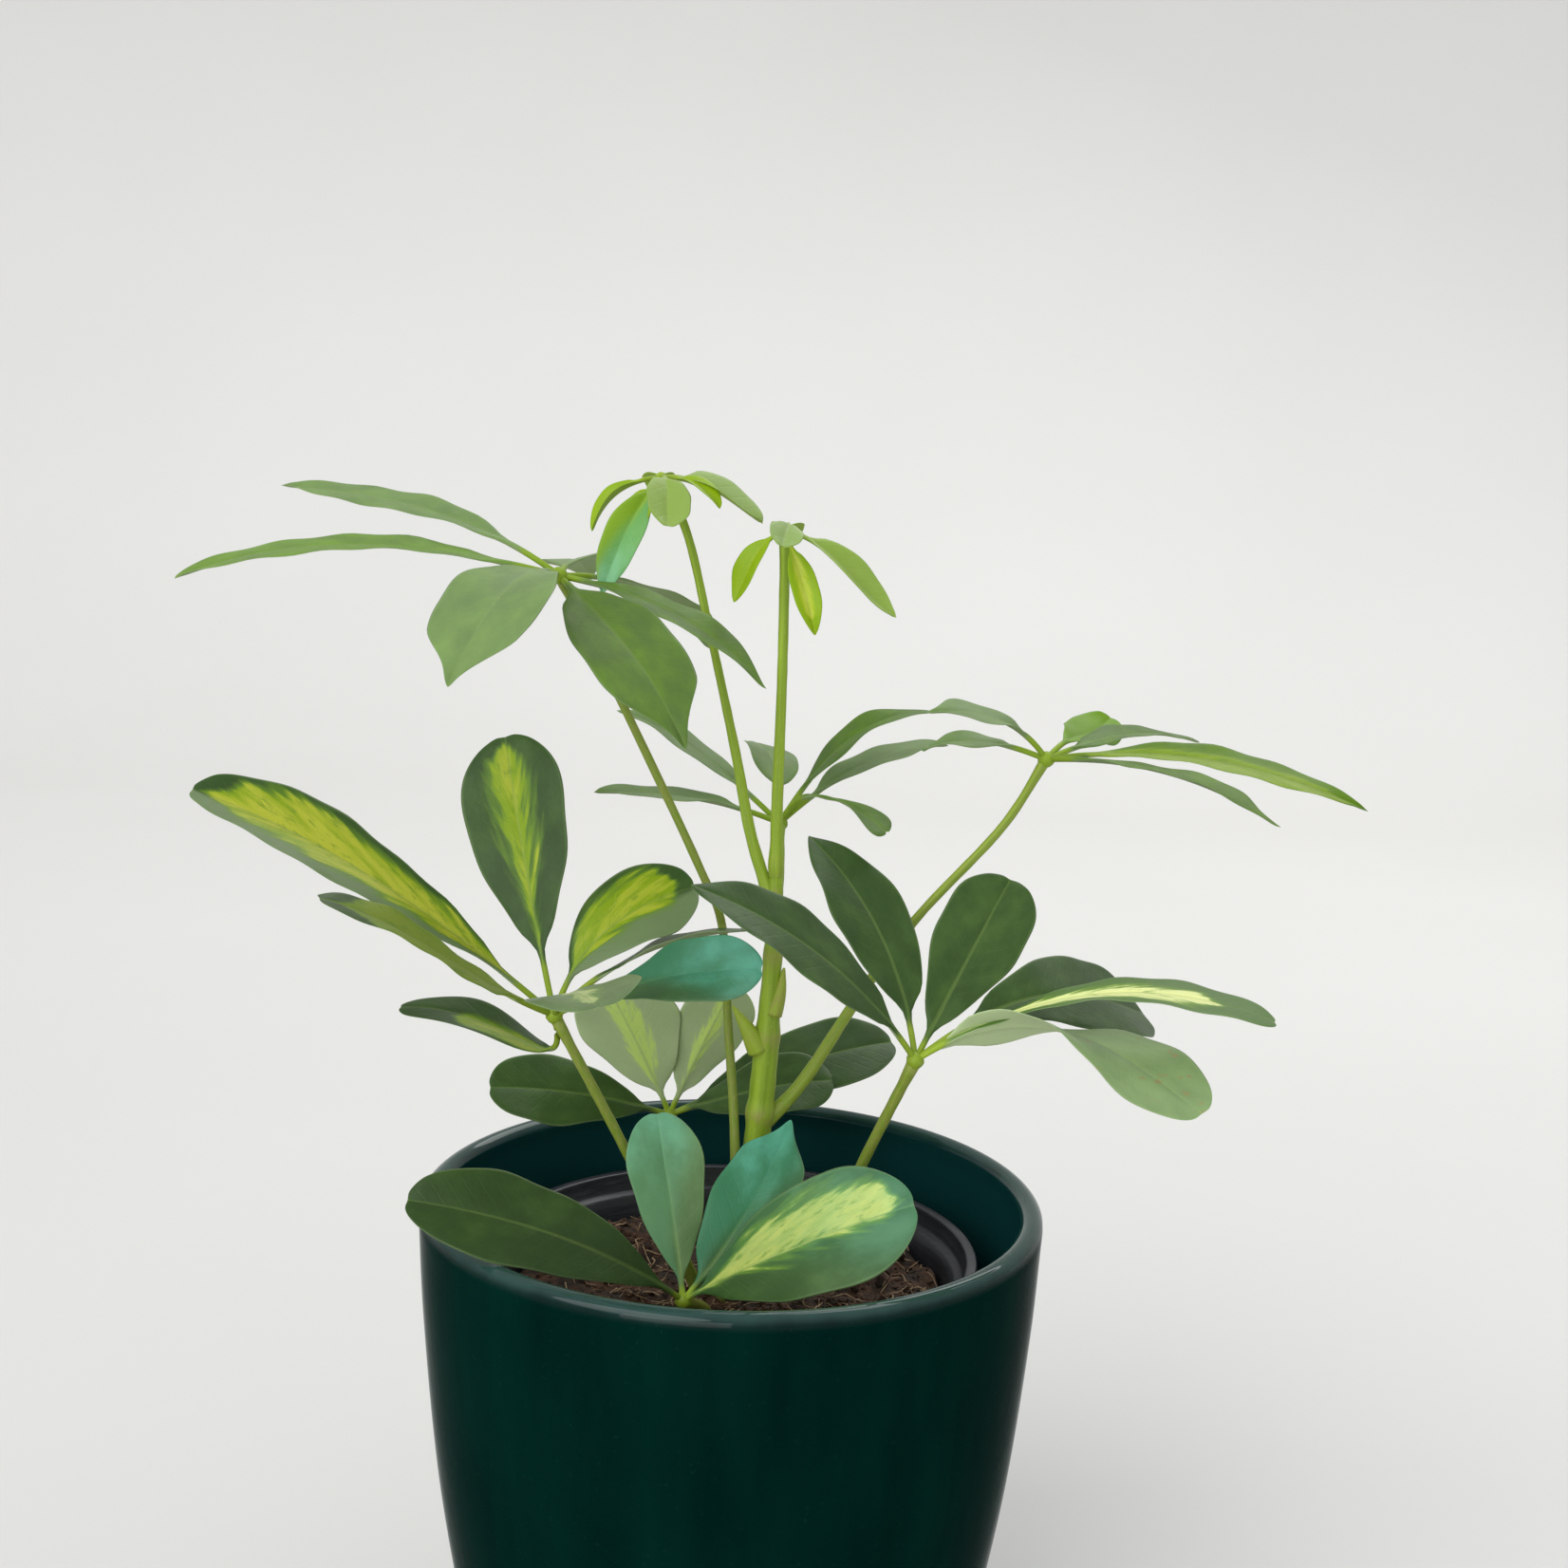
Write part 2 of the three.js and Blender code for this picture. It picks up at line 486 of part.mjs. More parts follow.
let soil = solidOf(soilShape).subtract(stemClear);
for (const leaf of leaves.filter((one) => one.root)) soil = soil.subtract(petioleSolid(leaf, seatGap));
part.add(meshOf('potting_mix', geometryOf(soil), 0x3a2418, 0.95));

export default part;
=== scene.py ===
import math
import random

import bmesh
import bpy
from mathutils import Matrix, Vector, noise


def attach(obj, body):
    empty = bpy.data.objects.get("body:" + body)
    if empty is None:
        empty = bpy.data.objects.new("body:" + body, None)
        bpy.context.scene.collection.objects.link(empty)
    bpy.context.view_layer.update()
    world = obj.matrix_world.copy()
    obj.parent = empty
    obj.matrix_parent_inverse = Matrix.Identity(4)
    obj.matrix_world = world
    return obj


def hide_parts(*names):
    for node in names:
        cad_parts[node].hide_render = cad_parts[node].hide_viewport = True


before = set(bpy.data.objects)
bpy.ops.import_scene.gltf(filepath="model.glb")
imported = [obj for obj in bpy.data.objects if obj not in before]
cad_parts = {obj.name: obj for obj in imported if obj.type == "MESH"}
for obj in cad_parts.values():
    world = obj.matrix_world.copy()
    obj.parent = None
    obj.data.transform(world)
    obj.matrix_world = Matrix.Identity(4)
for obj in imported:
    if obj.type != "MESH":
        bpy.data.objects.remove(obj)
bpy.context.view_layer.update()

print("frame loaded")

# Lengths are worked out in millimetres and scaled to metres when a piece is finished.
millimetre = 0.001
dice = random.Random(27)


def mix(a, b, share):
    return a + (b - a) * share


def smooth(value, low, high):
    t = min(1.0, max(0.0, (value - low) / (high - low)))
    return t * t * (3 - 2 * t)


class Wire:
    # An output socket. Sums and products of wires and numbers become Math nodes.
    def __init__(self, finish, socket):
        self.finish, self.socket = finish, socket

    def maths(self, operation, *values):
        return self.finish.add("Math", values, operation=operation)

    def __add__(self, other):
        return self.maths("ADD", self, other)

    def __sub__(self, other):
        return self.maths("SUBTRACT", self, other)

    def __rsub__(self, other):
        return self.maths("SUBTRACT", other, self)

    def __mul__(self, other):
        return self.maths("MULTIPLY", self, other)

    def __abs__(self):
        return self.maths("ABSOLUTE", self)

    __radd__ = __add__
    __rmul__ = __mul__


class Finish:
    # One material and the nodes that paint it.
    def __init__(self, name):
        self.material = bpy.data.materials.new(name)
        self.material.use_nodes = True
        self.tree = self.material.node_tree
        self.tree.nodes.clear()

    def add(self, kind, sockets=(), output=0, **settings):
        node = self.tree.nodes.new("ShaderNode" + kind)
        for setting, value in settings.items():
            setattr(node, setting, value)
        for socket, value in sockets.items() if isinstance(sockets, dict) else enumerate(sockets):
            target = node.inputs[socket]
            if isinstance(value, Wire):
                self.tree.links.new(value.socket, target)
            elif target.type == "RGBA":
                target.default_value = (*value, 1)
            else:
                target.default_value = value
        return Wire(self, node.outputs[output]) if node.outputs else node

    def place(self):
        return self.add("TexCoord", output="Object")

    def split(self, vector):
        node = self.add("SeparateXYZ", [vector]).socket.node
        return [Wire(self, socket) for socket in node.outputs]

    def parts(self, attribute):
        return self.split(self.add("Attribute", output="Vector", attribute_name=attribute))

    def vector(self, *values):
        return self.add("CombineXYZ", values)

    def stretched(self, vector, scale):
        return self.add("Mapping", {"Vector": vector, "Scale": scale})

    def cloud(self, vector, scale, detail=3.0, roughness=0.5, distortion=0.0):
        return self.add("TexNoise", {"Vector": vector, "Scale": scale, "Detail": detail,
                                     "Roughness": roughness, "Distortion": distortion})

    def step(self, value, low, high):
        return self.add("MapRange", {"Value": value, "From Min": low, "From Max": high},
                        interpolation_type="SMOOTHSTEP")

    def blend(self, factor, first, second):
        return self.add("Mix", {0: factor, 6: first, 7: second}, output=2, data_type="RGBA")

    def surface(self, colour, roughness, height=None, depth=0.0, **constants):
        sockets = {"Base Color": colour, "Roughness": roughness}
        if height is not None:
            sockets["Normal"] = self.add("Bump", {"Height": height, "Distance": depth})
        sockets.update({name.replace("_", " "): value for name, value in constants.items()})
        self.add("OutputMaterial", [self.add("BsdfPrincipled", sockets)])
        return self.material


# In each skin, the pale colour gives the pale margins and the rib beneath and also paints a sheen, the
# bluish-green pair near the end paints a teal reflection, and the mature under colour is paler than a real
# underside: painted light shining through the leaf.
matureSkin = {
    "dark": (0.033, 0.073, 0.015), "middle": (0.073, 0.142, 0.028), "lime": (0.22, 0.33, 0.006),
    "lemon": (0.44, 0.47, 0.04), "fringe": (0.13, 0.24, 0.018), "under": (0.42, 0.51, 0.28),
    "rib": (0.20, 0.30, 0.07), "stalk": (0.24, 0.34, 0.025), "pale": (0.25, 0.34, 0.16),
    "teal": (0.035, 0.16, 0.075), "sheen": (0.085, 0.32, 0.22), "gloss": 0.42, "veins": 0.02, "bend": 1.3}
upperSkin = {
    "dark": (0.085, 0.155, 0.03), "middle": (0.15, 0.29, 0.012), "lime": (0.28, 0.43, 0.03),
    "lemon": (0.48, 0.58, 0.12), "fringe": (0.20, 0.32, 0.04), "under": (0.25, 0.34, 0.14),
    "rib": (0.22, 0.33, 0.08), "stalk": (0.24, 0.36, 0.03), "pale": (0.28, 0.38, 0.19),
    "teal": (0.045, 0.24, 0.125), "sheen": (0.10, 0.42, 0.36), "gloss": 0.4, "veins": 0.03, "bend": 1.2}
youngSkin = {
    "dark": (0.28, 0.45, 0.004), "middle": (0.38, 0.54, 0.008), "lime": (0.46, 0.58, 0.02),
    "lemon": (0.60, 0.66, 0.10), "fringe": (0.42, 0.55, 0.015), "under": (0.33, 0.48, 0.02),
    "rib": (0.40, 0.52, 0.04), "stalk": (0.30, 0.42, 0.03), "pale": (0.30, 0.42, 0.18),
    "teal": (0.14, 0.44, 0.16), "sheen": (0.30, 0.72, 0.50), "gloss": 0.4, "veins": 0.03, "bend": 1.3}


# Each leaflet carries how far along and across its blade a point lies, how it is variegated and how much
# light is painted on it.
def leafFinish(name, skin):
    f = Finish(name)
    share, across, under = f.parts("leafPlace")
    run, aside, seed = f.parts("leafSize")
    low, high, end = f.parts("leafFlame")
    opening, tone, blemish = f.parts("leafPaint")
    # The next three amounts paint light: a teal reflection, a pale sheen (on undersides, light shining
    # through) and the half of the blade that takes a sheen.
    teal, pale, paleSide = f.parts("leafPaintedLight")
    cream, bright, lime = f.parts("leafTint")
    side = f.step(across, -0.02, 0.02)
    brush = f.vector((abs(aside) - run * 0.3) * 0.5, (run + abs(aside) * 0.3) * 0.06, seed * 9 + side * 3)
    fingers = f.cloud(brush, 1.0, 3.5, 0.55)
    blotch = f.cloud(f.vector(run * 0.11, aside * 0.16, seed * 13 + side * 5), 1.0, 3.0, 0.55)
    grain = f.cloud(f.vector(run * 0.9, aside * 0.9, seed * 7), 1.0, 3.0)
    flecks = f.cloud(f.vector(run * 0.22, abs(aside) * 0.8 - run * 0.12, seed * 5), 1.0, 4.0, 0.7)

    widening = f.step(share, 0, opening) * 0.85 + 0.15
    inside = (across - low * widening).maths("MINIMUM", across - low * widening, high * widening - across)
    inside = inside - f.step(share, end - 0.14, end + 0.08) * 1.3 + (fingers - 0.5) * 0.85
    flamed = f.step(high - low, 0.02, 0.1)
    core = f.step(inside, -0.05, 0.09) * flamed
    fringe = f.step(inside, -0.26, 0.08) * flamed

    green = f.blend(f.step(blotch + tone, 0.3, 1.1), skin["dark"], skin["middle"])
    # One half of the blade is paled: a painted sheen.
    green = f.blend(f.step(across * paleSide, 0.0, 0.1) * 0.5, green, skin["pale"])
    colour = f.blend(fringe, green, skin["fringe"])
    ripe = f.step(fingers + inside * 0.5, 0.35, 0.85)
    yellow = f.blend(ripe - lime * 0.75, skin["lime"], skin["lemon"])
    core = core - core * f.step(flecks, 0.52, 0.68) * 0.6
    colour = f.blend(core, colour, f.blend(cream, yellow, (0.74, 0.78, 0.36)))
    vein = run * 0.24 - abs(aside) * 0.216 + grain * 0.2  # one value along each side vein
    veinLine = f.step(vein.maths("PINGPONG", vein, 0.5), 0.10, 0.02) * f.step(abs(across), 1.0, 0.6)
    colour = f.blend(veinLine * skin["veins"], colour, skin["rib"])
    rib = f.step(abs(aside) + share * 0.4, 0.75, 0.35)
    colour = f.blend(rib * 0.3, colour, skin["rib"])
    colour = f.blend(f.step(abs(across), 0.93, 0.99) * 0.3, colour, skin["pale"])
    # A painted teal reflection, brighter towards the tip and towards one edge, then a painted pale sheen over
    # it.
    sheen = f.blend(f.step(share + (blotch - 0.5), 0.45, 1.1), skin["teal"], skin["sheen"])
    colour = f.blend(teal * (f.step(share - across * 0.6, 0.1, 0.6) * 0.8 + 0.2), colour, sheen)
    colour = f.blend(pale * (blotch * 0.6 + 0.6), colour, skin["pale"])
    spots = f.step(f.cloud(f.vector(run * 0.35, aside * 0.35, seed), 1.0, 2.0, 0.6), 0.62, 0.72)
    colour = f.blend(spots * blemish, colour, (0.24, 0.15, 0.06))
    # Undersides take the pale under colour: painted light shining through the leaf.
    back = f.blend(core * 0.75, f.blend(0.8, colour, skin["under"]), (0.52, 0.68, 0.15))
    back = f.blend(rib * 0.4, back, skin["pale"])
    colour = f.blend(f.step(under, 0.45, 0.55), colour, back)
    colour = f.blend(f.step(run, 1.5, -1.5), colour, skin["stalk"])
    colour = f.add("VectorMath", {0: colour, "Scale": bright + 1}, operation="SCALE")
    roughness = skin["gloss"] + (grain - 0.5) * 0.16 + f.step(under, 0.4, 0.6) * 0.2
    height = veinLine * -0.12 + grain * 0.3 + blotch * 0.3
    return f.surface(colour, roughness, height, 0.0002, Subsurface_Weight=0.1,
                     Subsurface_Radius=(0.6, 1.0, 0.25), Subsurface_Scale=0.001, IOR=skin["bend"])


def stalkFinish():
    f = Finish("leafStalk")
    turnX, turnY, run = f.parts("stalkPlace")
    tone, brown, seed = f.parts("stalkPaint")
    streak = f.cloud(f.vector(turnX * 1.6, turnY * 1.6, run * 0.035 + seed), 1.0, 4.0, 0.6)
    mottle = f.cloud(f.vector(turnX, turnY, run * 0.16 + seed * 3), 2.2, 4.0, 0.6)
    colour = f.blend(f.step(streak + tone, 0.25, 0.9), (0.16, 0.27, 0.014), (0.33, 0.47, 0.03))
    colour = f.blend(f.step(mottle, 0.55, 0.75) * 0.3, colour, (0.42, 0.52, 0.07))
    # One side of each stalk turns olive-brown: painted shade.
    colour = f.blend(f.step(turnX, 0.2, 0.9) * 0.35, colour, (0.26, 0.24, 0.02))
    dots = f.cloud(f.vector(turnX * 1.5, turnY * 1.5, run * 0.55 + seed), 2.6, 1.0)
    colour = f.blend(f.step(dots, 0.68, 0.74) * 0.3, colour, (0.50, 0.55, 0.22))
    colour = f.blend(brown * f.step(mottle, 0.25, 0.7), colour, (0.34, 0.27, 0.10))
    return f.surface(colour, mottle * 0.25 + 0.38, streak * 0.7 + dots * 0.3, 0.0002,
                     Subsurface_Weight=0.08, Subsurface_Radius=(0.6, 1.0, 0.25),
                     Subsurface_Scale=0.001, IOR=1.4)


def glazeFinish():
    f = Finish("potGlaze")
    place = f.place()
    east, north, height = f.split(place)
    ring = f.add("VectorMath", [f.vector(east, north, 0)], output="Value", operation="LENGTH")
    runs = f.cloud(f.stretched(place, (60, 60, 9)), 1.0, 4.0, 0.55)
    pool = f.cloud(place, 26, 3.0)
    specks = f.cloud(place, 900, 2.0, 0.5)
    streaks = f.step(runs * 0.6 + pool * 0.4, 0.3, 0.7)
    colour = f.blend(streaks, (0.0004, 0.011, 0.009), (0.0008, 0.019, 0.014))
    colour = f.blend(f.step(specks, 0.66, 0.74) * 0.2, colour, (0.01, 0.05, 0.04))
    # The inner wall below the lip is lightened: painted light.
    inner = f.step(ring, 0.0705, 0.0690) * f.step(height, 0.09, 0.125)
    colour = f.blend(inner, colour, (0.006, 0.047, 0.050))
    # The lip turns paler grey-green: partly the glaze thinning at the edge, partly a painted reflection on
    # the rounded lip.
    lip = height + (runs - 0.5) * 0.0024
    colour = f.blend(f.step(lip, 0.1325, 0.1348) * 0.5, colour, (0.04, 0.10, 0.085))
    return f.surface(colour, pool * 0.06 + 0.1, pool * 0.8 + runs * 0.2, 0.0005, IOR=1.025,
                     Coat_Weight=f.step(height, 0.1310, 0.1348) * 0.7, Coat_Roughness=0.05)


def clayFinish():
    f = Finish("bareFoot")
    place = f.place()
    grit = f.cloud(place, 700, 4.0, 0.6)
    colour = f.blend(grit, (0.36, 0.30, 0.23), (0.52, 0.45, 0.36))
    return f.surface(colour, grit * 0.2 + 0.7, grit, 0.0003)


def nurseryFinish():
    f = Finish("nurseryPlastic")
    place = f.place()
    dust = f.cloud(place, 55, 4.0, 0.6)
    scuffs = f.cloud(f.stretched(place, (40, 40, 500)), 1.0, 3.0, 0.7)
    colour = f.blend(f.step(dust, 0.45, 0.8) * 0.5, (0.010, 0.011, 0.016), (0.035, 0.036, 0.042))
    colour = f.blend(f.step(scuffs, 0.62, 0.75) * 0.35, colour, (0.11, 0.115, 0.12))
    return f.surface(colour, dust * 0.2 + 0.3, scuffs + dust, 0.0002)


def coirFinish():
    f = Finish("coirMix")
    place = f.place()
    clumps = f.cloud(place, 160, 5.0, 0.65)
    dust = f.cloud(place, 900, 4.0, 0.7)
    colour = f.blend(f.step(clumps, 0.35, 0.65), (0.018, 0.008, 0.004), (0.085, 0.036, 0.016))
    colour = f.blend(f.step(dust, 0.55, 0.75) * 0.4, colour, (0.20, 0.11, 0.06))
    return f.surface(colour, dust * 0.2 + 0.75, clumps + dust * 0.6, 0.0012)


def fibreFinish():
    f = Finish("coirFibre")
    tone = f.cloud(f.place(), 240, 3.0)
    colour = f.blend(f.step(tone, 0.3, 0.7), (0.14, 0.065, 0.03), (0.46, 0.32, 0.19))
    return f.surface(colour, 0.75)


finishes = {
    "mature": leafFinish("matureLeaf", matureSkin),
    "upper": leafFinish("upperLeaf", upperSkin),
    "young": leafFinish("youngLeaf", youngSkin),
    "stalk": stalkFinish(),
    "glaze": glazeFinish(),
    "clay": clayFinish(),
    "nursery": nurseryFinish(),
    "coir": coirFinish(),
    "fibre": fibreFinish(),
}
print("materials made")


# A flat grid whose long sides meet once its points are placed: rows along a piece, columns round it
def rolledGrid(bm, rows, around):
    made = bmesh.ops.create_grid(bm, x_segments=rows, y_segments=around, size=0.5)["verts"]
    return [(vert, round((vert.co.x + 0.5) * rows), round((vert.co.y + 0.5) * around)) for vert in made]


# Makes the piece: closes seams and poles, turns faces outwards, and places it on its body
def finishPiece(bm, name, nodes, materials, smoothShade=True):
    bmesh.ops.remove_doubles(bm, verts=bm.verts, dist=1e-4)
    bmesh.ops.dissolve_degenerate(bm, dist=1e-5, edges=bm.edges)
    bmesh.ops.recalc_face_normals(bm, faces=bm.faces)
    bmesh.ops.scale(bm, vec=(millimetre,) * 3, verts=bm.verts)
    for face in bm.faces:
        face.smooth = smoothShade
    mesh = bpy.data.meshes.new(name)
    bm.to_mesh(mesh)
    bm.free()
    for material in materials:
        mesh.materials.append(finishes[material])
    piece = bpy.data.objects.new(name, mesh)
    bpy.context.scene.collection.objects.link(piece)
    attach(piece, "root")
    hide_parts(*nodes)
    return piece


# Points along a smooth line through the given ones, spaced by their distance apart
def throughPoints(points, perSpan):
    knots = [Vector(point) for point in points]
    knots = [2 * knots[0] - knots[1], *knots, 2 * knots[-1] - knots[-2]]
    line = [knots[1]]
    for before, start, end, after in zip(knots, knots[1:], knots[2:], knots[3:]):
        gaps = [math.sqrt((b - a).length) for a, b in ((before, start), (start, end), (end, after))]
        leave = ((start - before) / gaps[0] - (end - before) / (gaps[0] + gaps[1])
                 + (end - start) / gaps[1]) * gaps[1]
        arrive = ((end - start) / gaps[1] - (after - start) / (gaps[1] + gaps[2])
                  + (after - end) / gaps[2]) * gaps[1]
        handles = [start, start + leave / 3, end - arrive / 3, end]
        line += [bezierAt(handles, step / perSpan) for step in range(1, perSpan + 1)]
    return line


def bezierAt(handles, t):
    a, b, c, d = handles
    s = 1 - t
    return a * s ** 3 + b * (3 * s * s * t) + c * (3 * s * t * t) + d * t ** 3


def bezierWay(handles, t):
    a, b, c, d = handles
    s = 1 - t
    return ((b - a) * (s * s) + (c - b) * (2 * s * t) + (d - c) * (t * t)).normalized()


# A round stalk along a line of points. radiusAt takes the distance from its foot and its length.
def stalkTube(bm, line, radiusAt, around, paint):
    placeLayer = layerOf(bm, "stalkPlace")
    paintLayer = layerOf(bm, "stalkPaint")
    lengths = [0.0]
    for a, b in zip(line, line[1:]):
        lengths.append(lengths[-1] + (b - a).length)
    rings = [(line[0], 0.0, 0.0), *zip(line, lengths, [1.0] * len(line)), (line[-1], lengths[-1], 0.0)]
    ways = [(line[min(i + 1, len(line) - 1)] - line[max(i - 1, 0)]).normalized() for i in range(len(line))]
    ways = [ways[0], *ways, ways[-1]]
    normal = ways[0].orthogonal().normalized()
    frames = []
    for way in ways:
        normal = (normal - way * normal.dot(way)).normalized()
        frames.append((normal, way.cross(normal)))
    for vert, row, column in rolledGrid(bm, len(rings) - 1, around):
        point, run, open_ = rings[row]
        angle = 2 * math.pi * column / around
        radius = radiusAt(run, lengths[-1]) * open_
        across, aside = frames[row]
        vert.co = point + (across * math.cos(angle) + aside * math.sin(angle)) * radius
        vert[placeLayer] = (math.cos(angle), math.sin(angle), run)
        vert[paintLayer] = paint(run)


def layerOf(bm, name):
    layers = bm.verts.layers.float_vector
    return layers.get(name) or layers.new(name)


soil = {"height": 111, "rootDepth": 14}
stem = {
    "path": [(3, 0, 77), (3, 0, 111), (4.8, 0.4, 138), (6, 0.4, 156), (7, 0, 174), (7.6, 0, 194),
             (7.6, 0, 215)],
    "foot": 3.6, "middle": 3.1, "top": 1.6, "middleHeight": 160,
    "joints": [(155, 0.5), (174, 0.4), (194, 0.35), (209, 0.3), (128, 0.2)], "jointSpread": 2.2,
    "stipules": [((5, -1, 171), (-1.5, -2.5, 182), 2.7, 0.3),
                 ((8.3, -1, 180), (10.4, -1.5, 191.5), 2.1, 0.6)],
}
blade = {
    "thickness": 0.45, "stalkRadius": 0.7, "hubRadius": 2.0, "wave": 0.5, "notch": 0.5,
    "rib": 0.4, "ribWidth": 0.75, "groove": 0.2, "grooveWidth": 0.5, "rows": 54, "around": 32,
    "stalkRows": 0.14,  # share of the rows that lie on the bare stalk
    "crowding": 1.9,  # of the other rows towards the tip
}
youngBlade = {**blade, "stalkRadius": 0.55, "hubRadius": 1.3, "wave": 0.15, "notch": 0.3,
              "rows": 38, "around": 24}
# near and far set how a blade widens from its base and closes at its tip; drawn narrows its tip
outlines = {
    "obovate": {"near": 1.05, "far": 0.5, "drawn": 0},
    "broad": {"near": 0.6, "far": 0.5, "drawn": 0},
    "pointed": {"near": 0.95, "far": 0.85, "drawn": 0},
    "drip": {"near": 0.85, "far": 0.7, "drawn": 0.55},
    "club": {"near": 4, "far": 0.45, "drawn": 0},
    "spoon": {"near": 1.3, "far": 0.4, "drawn": 0},
}
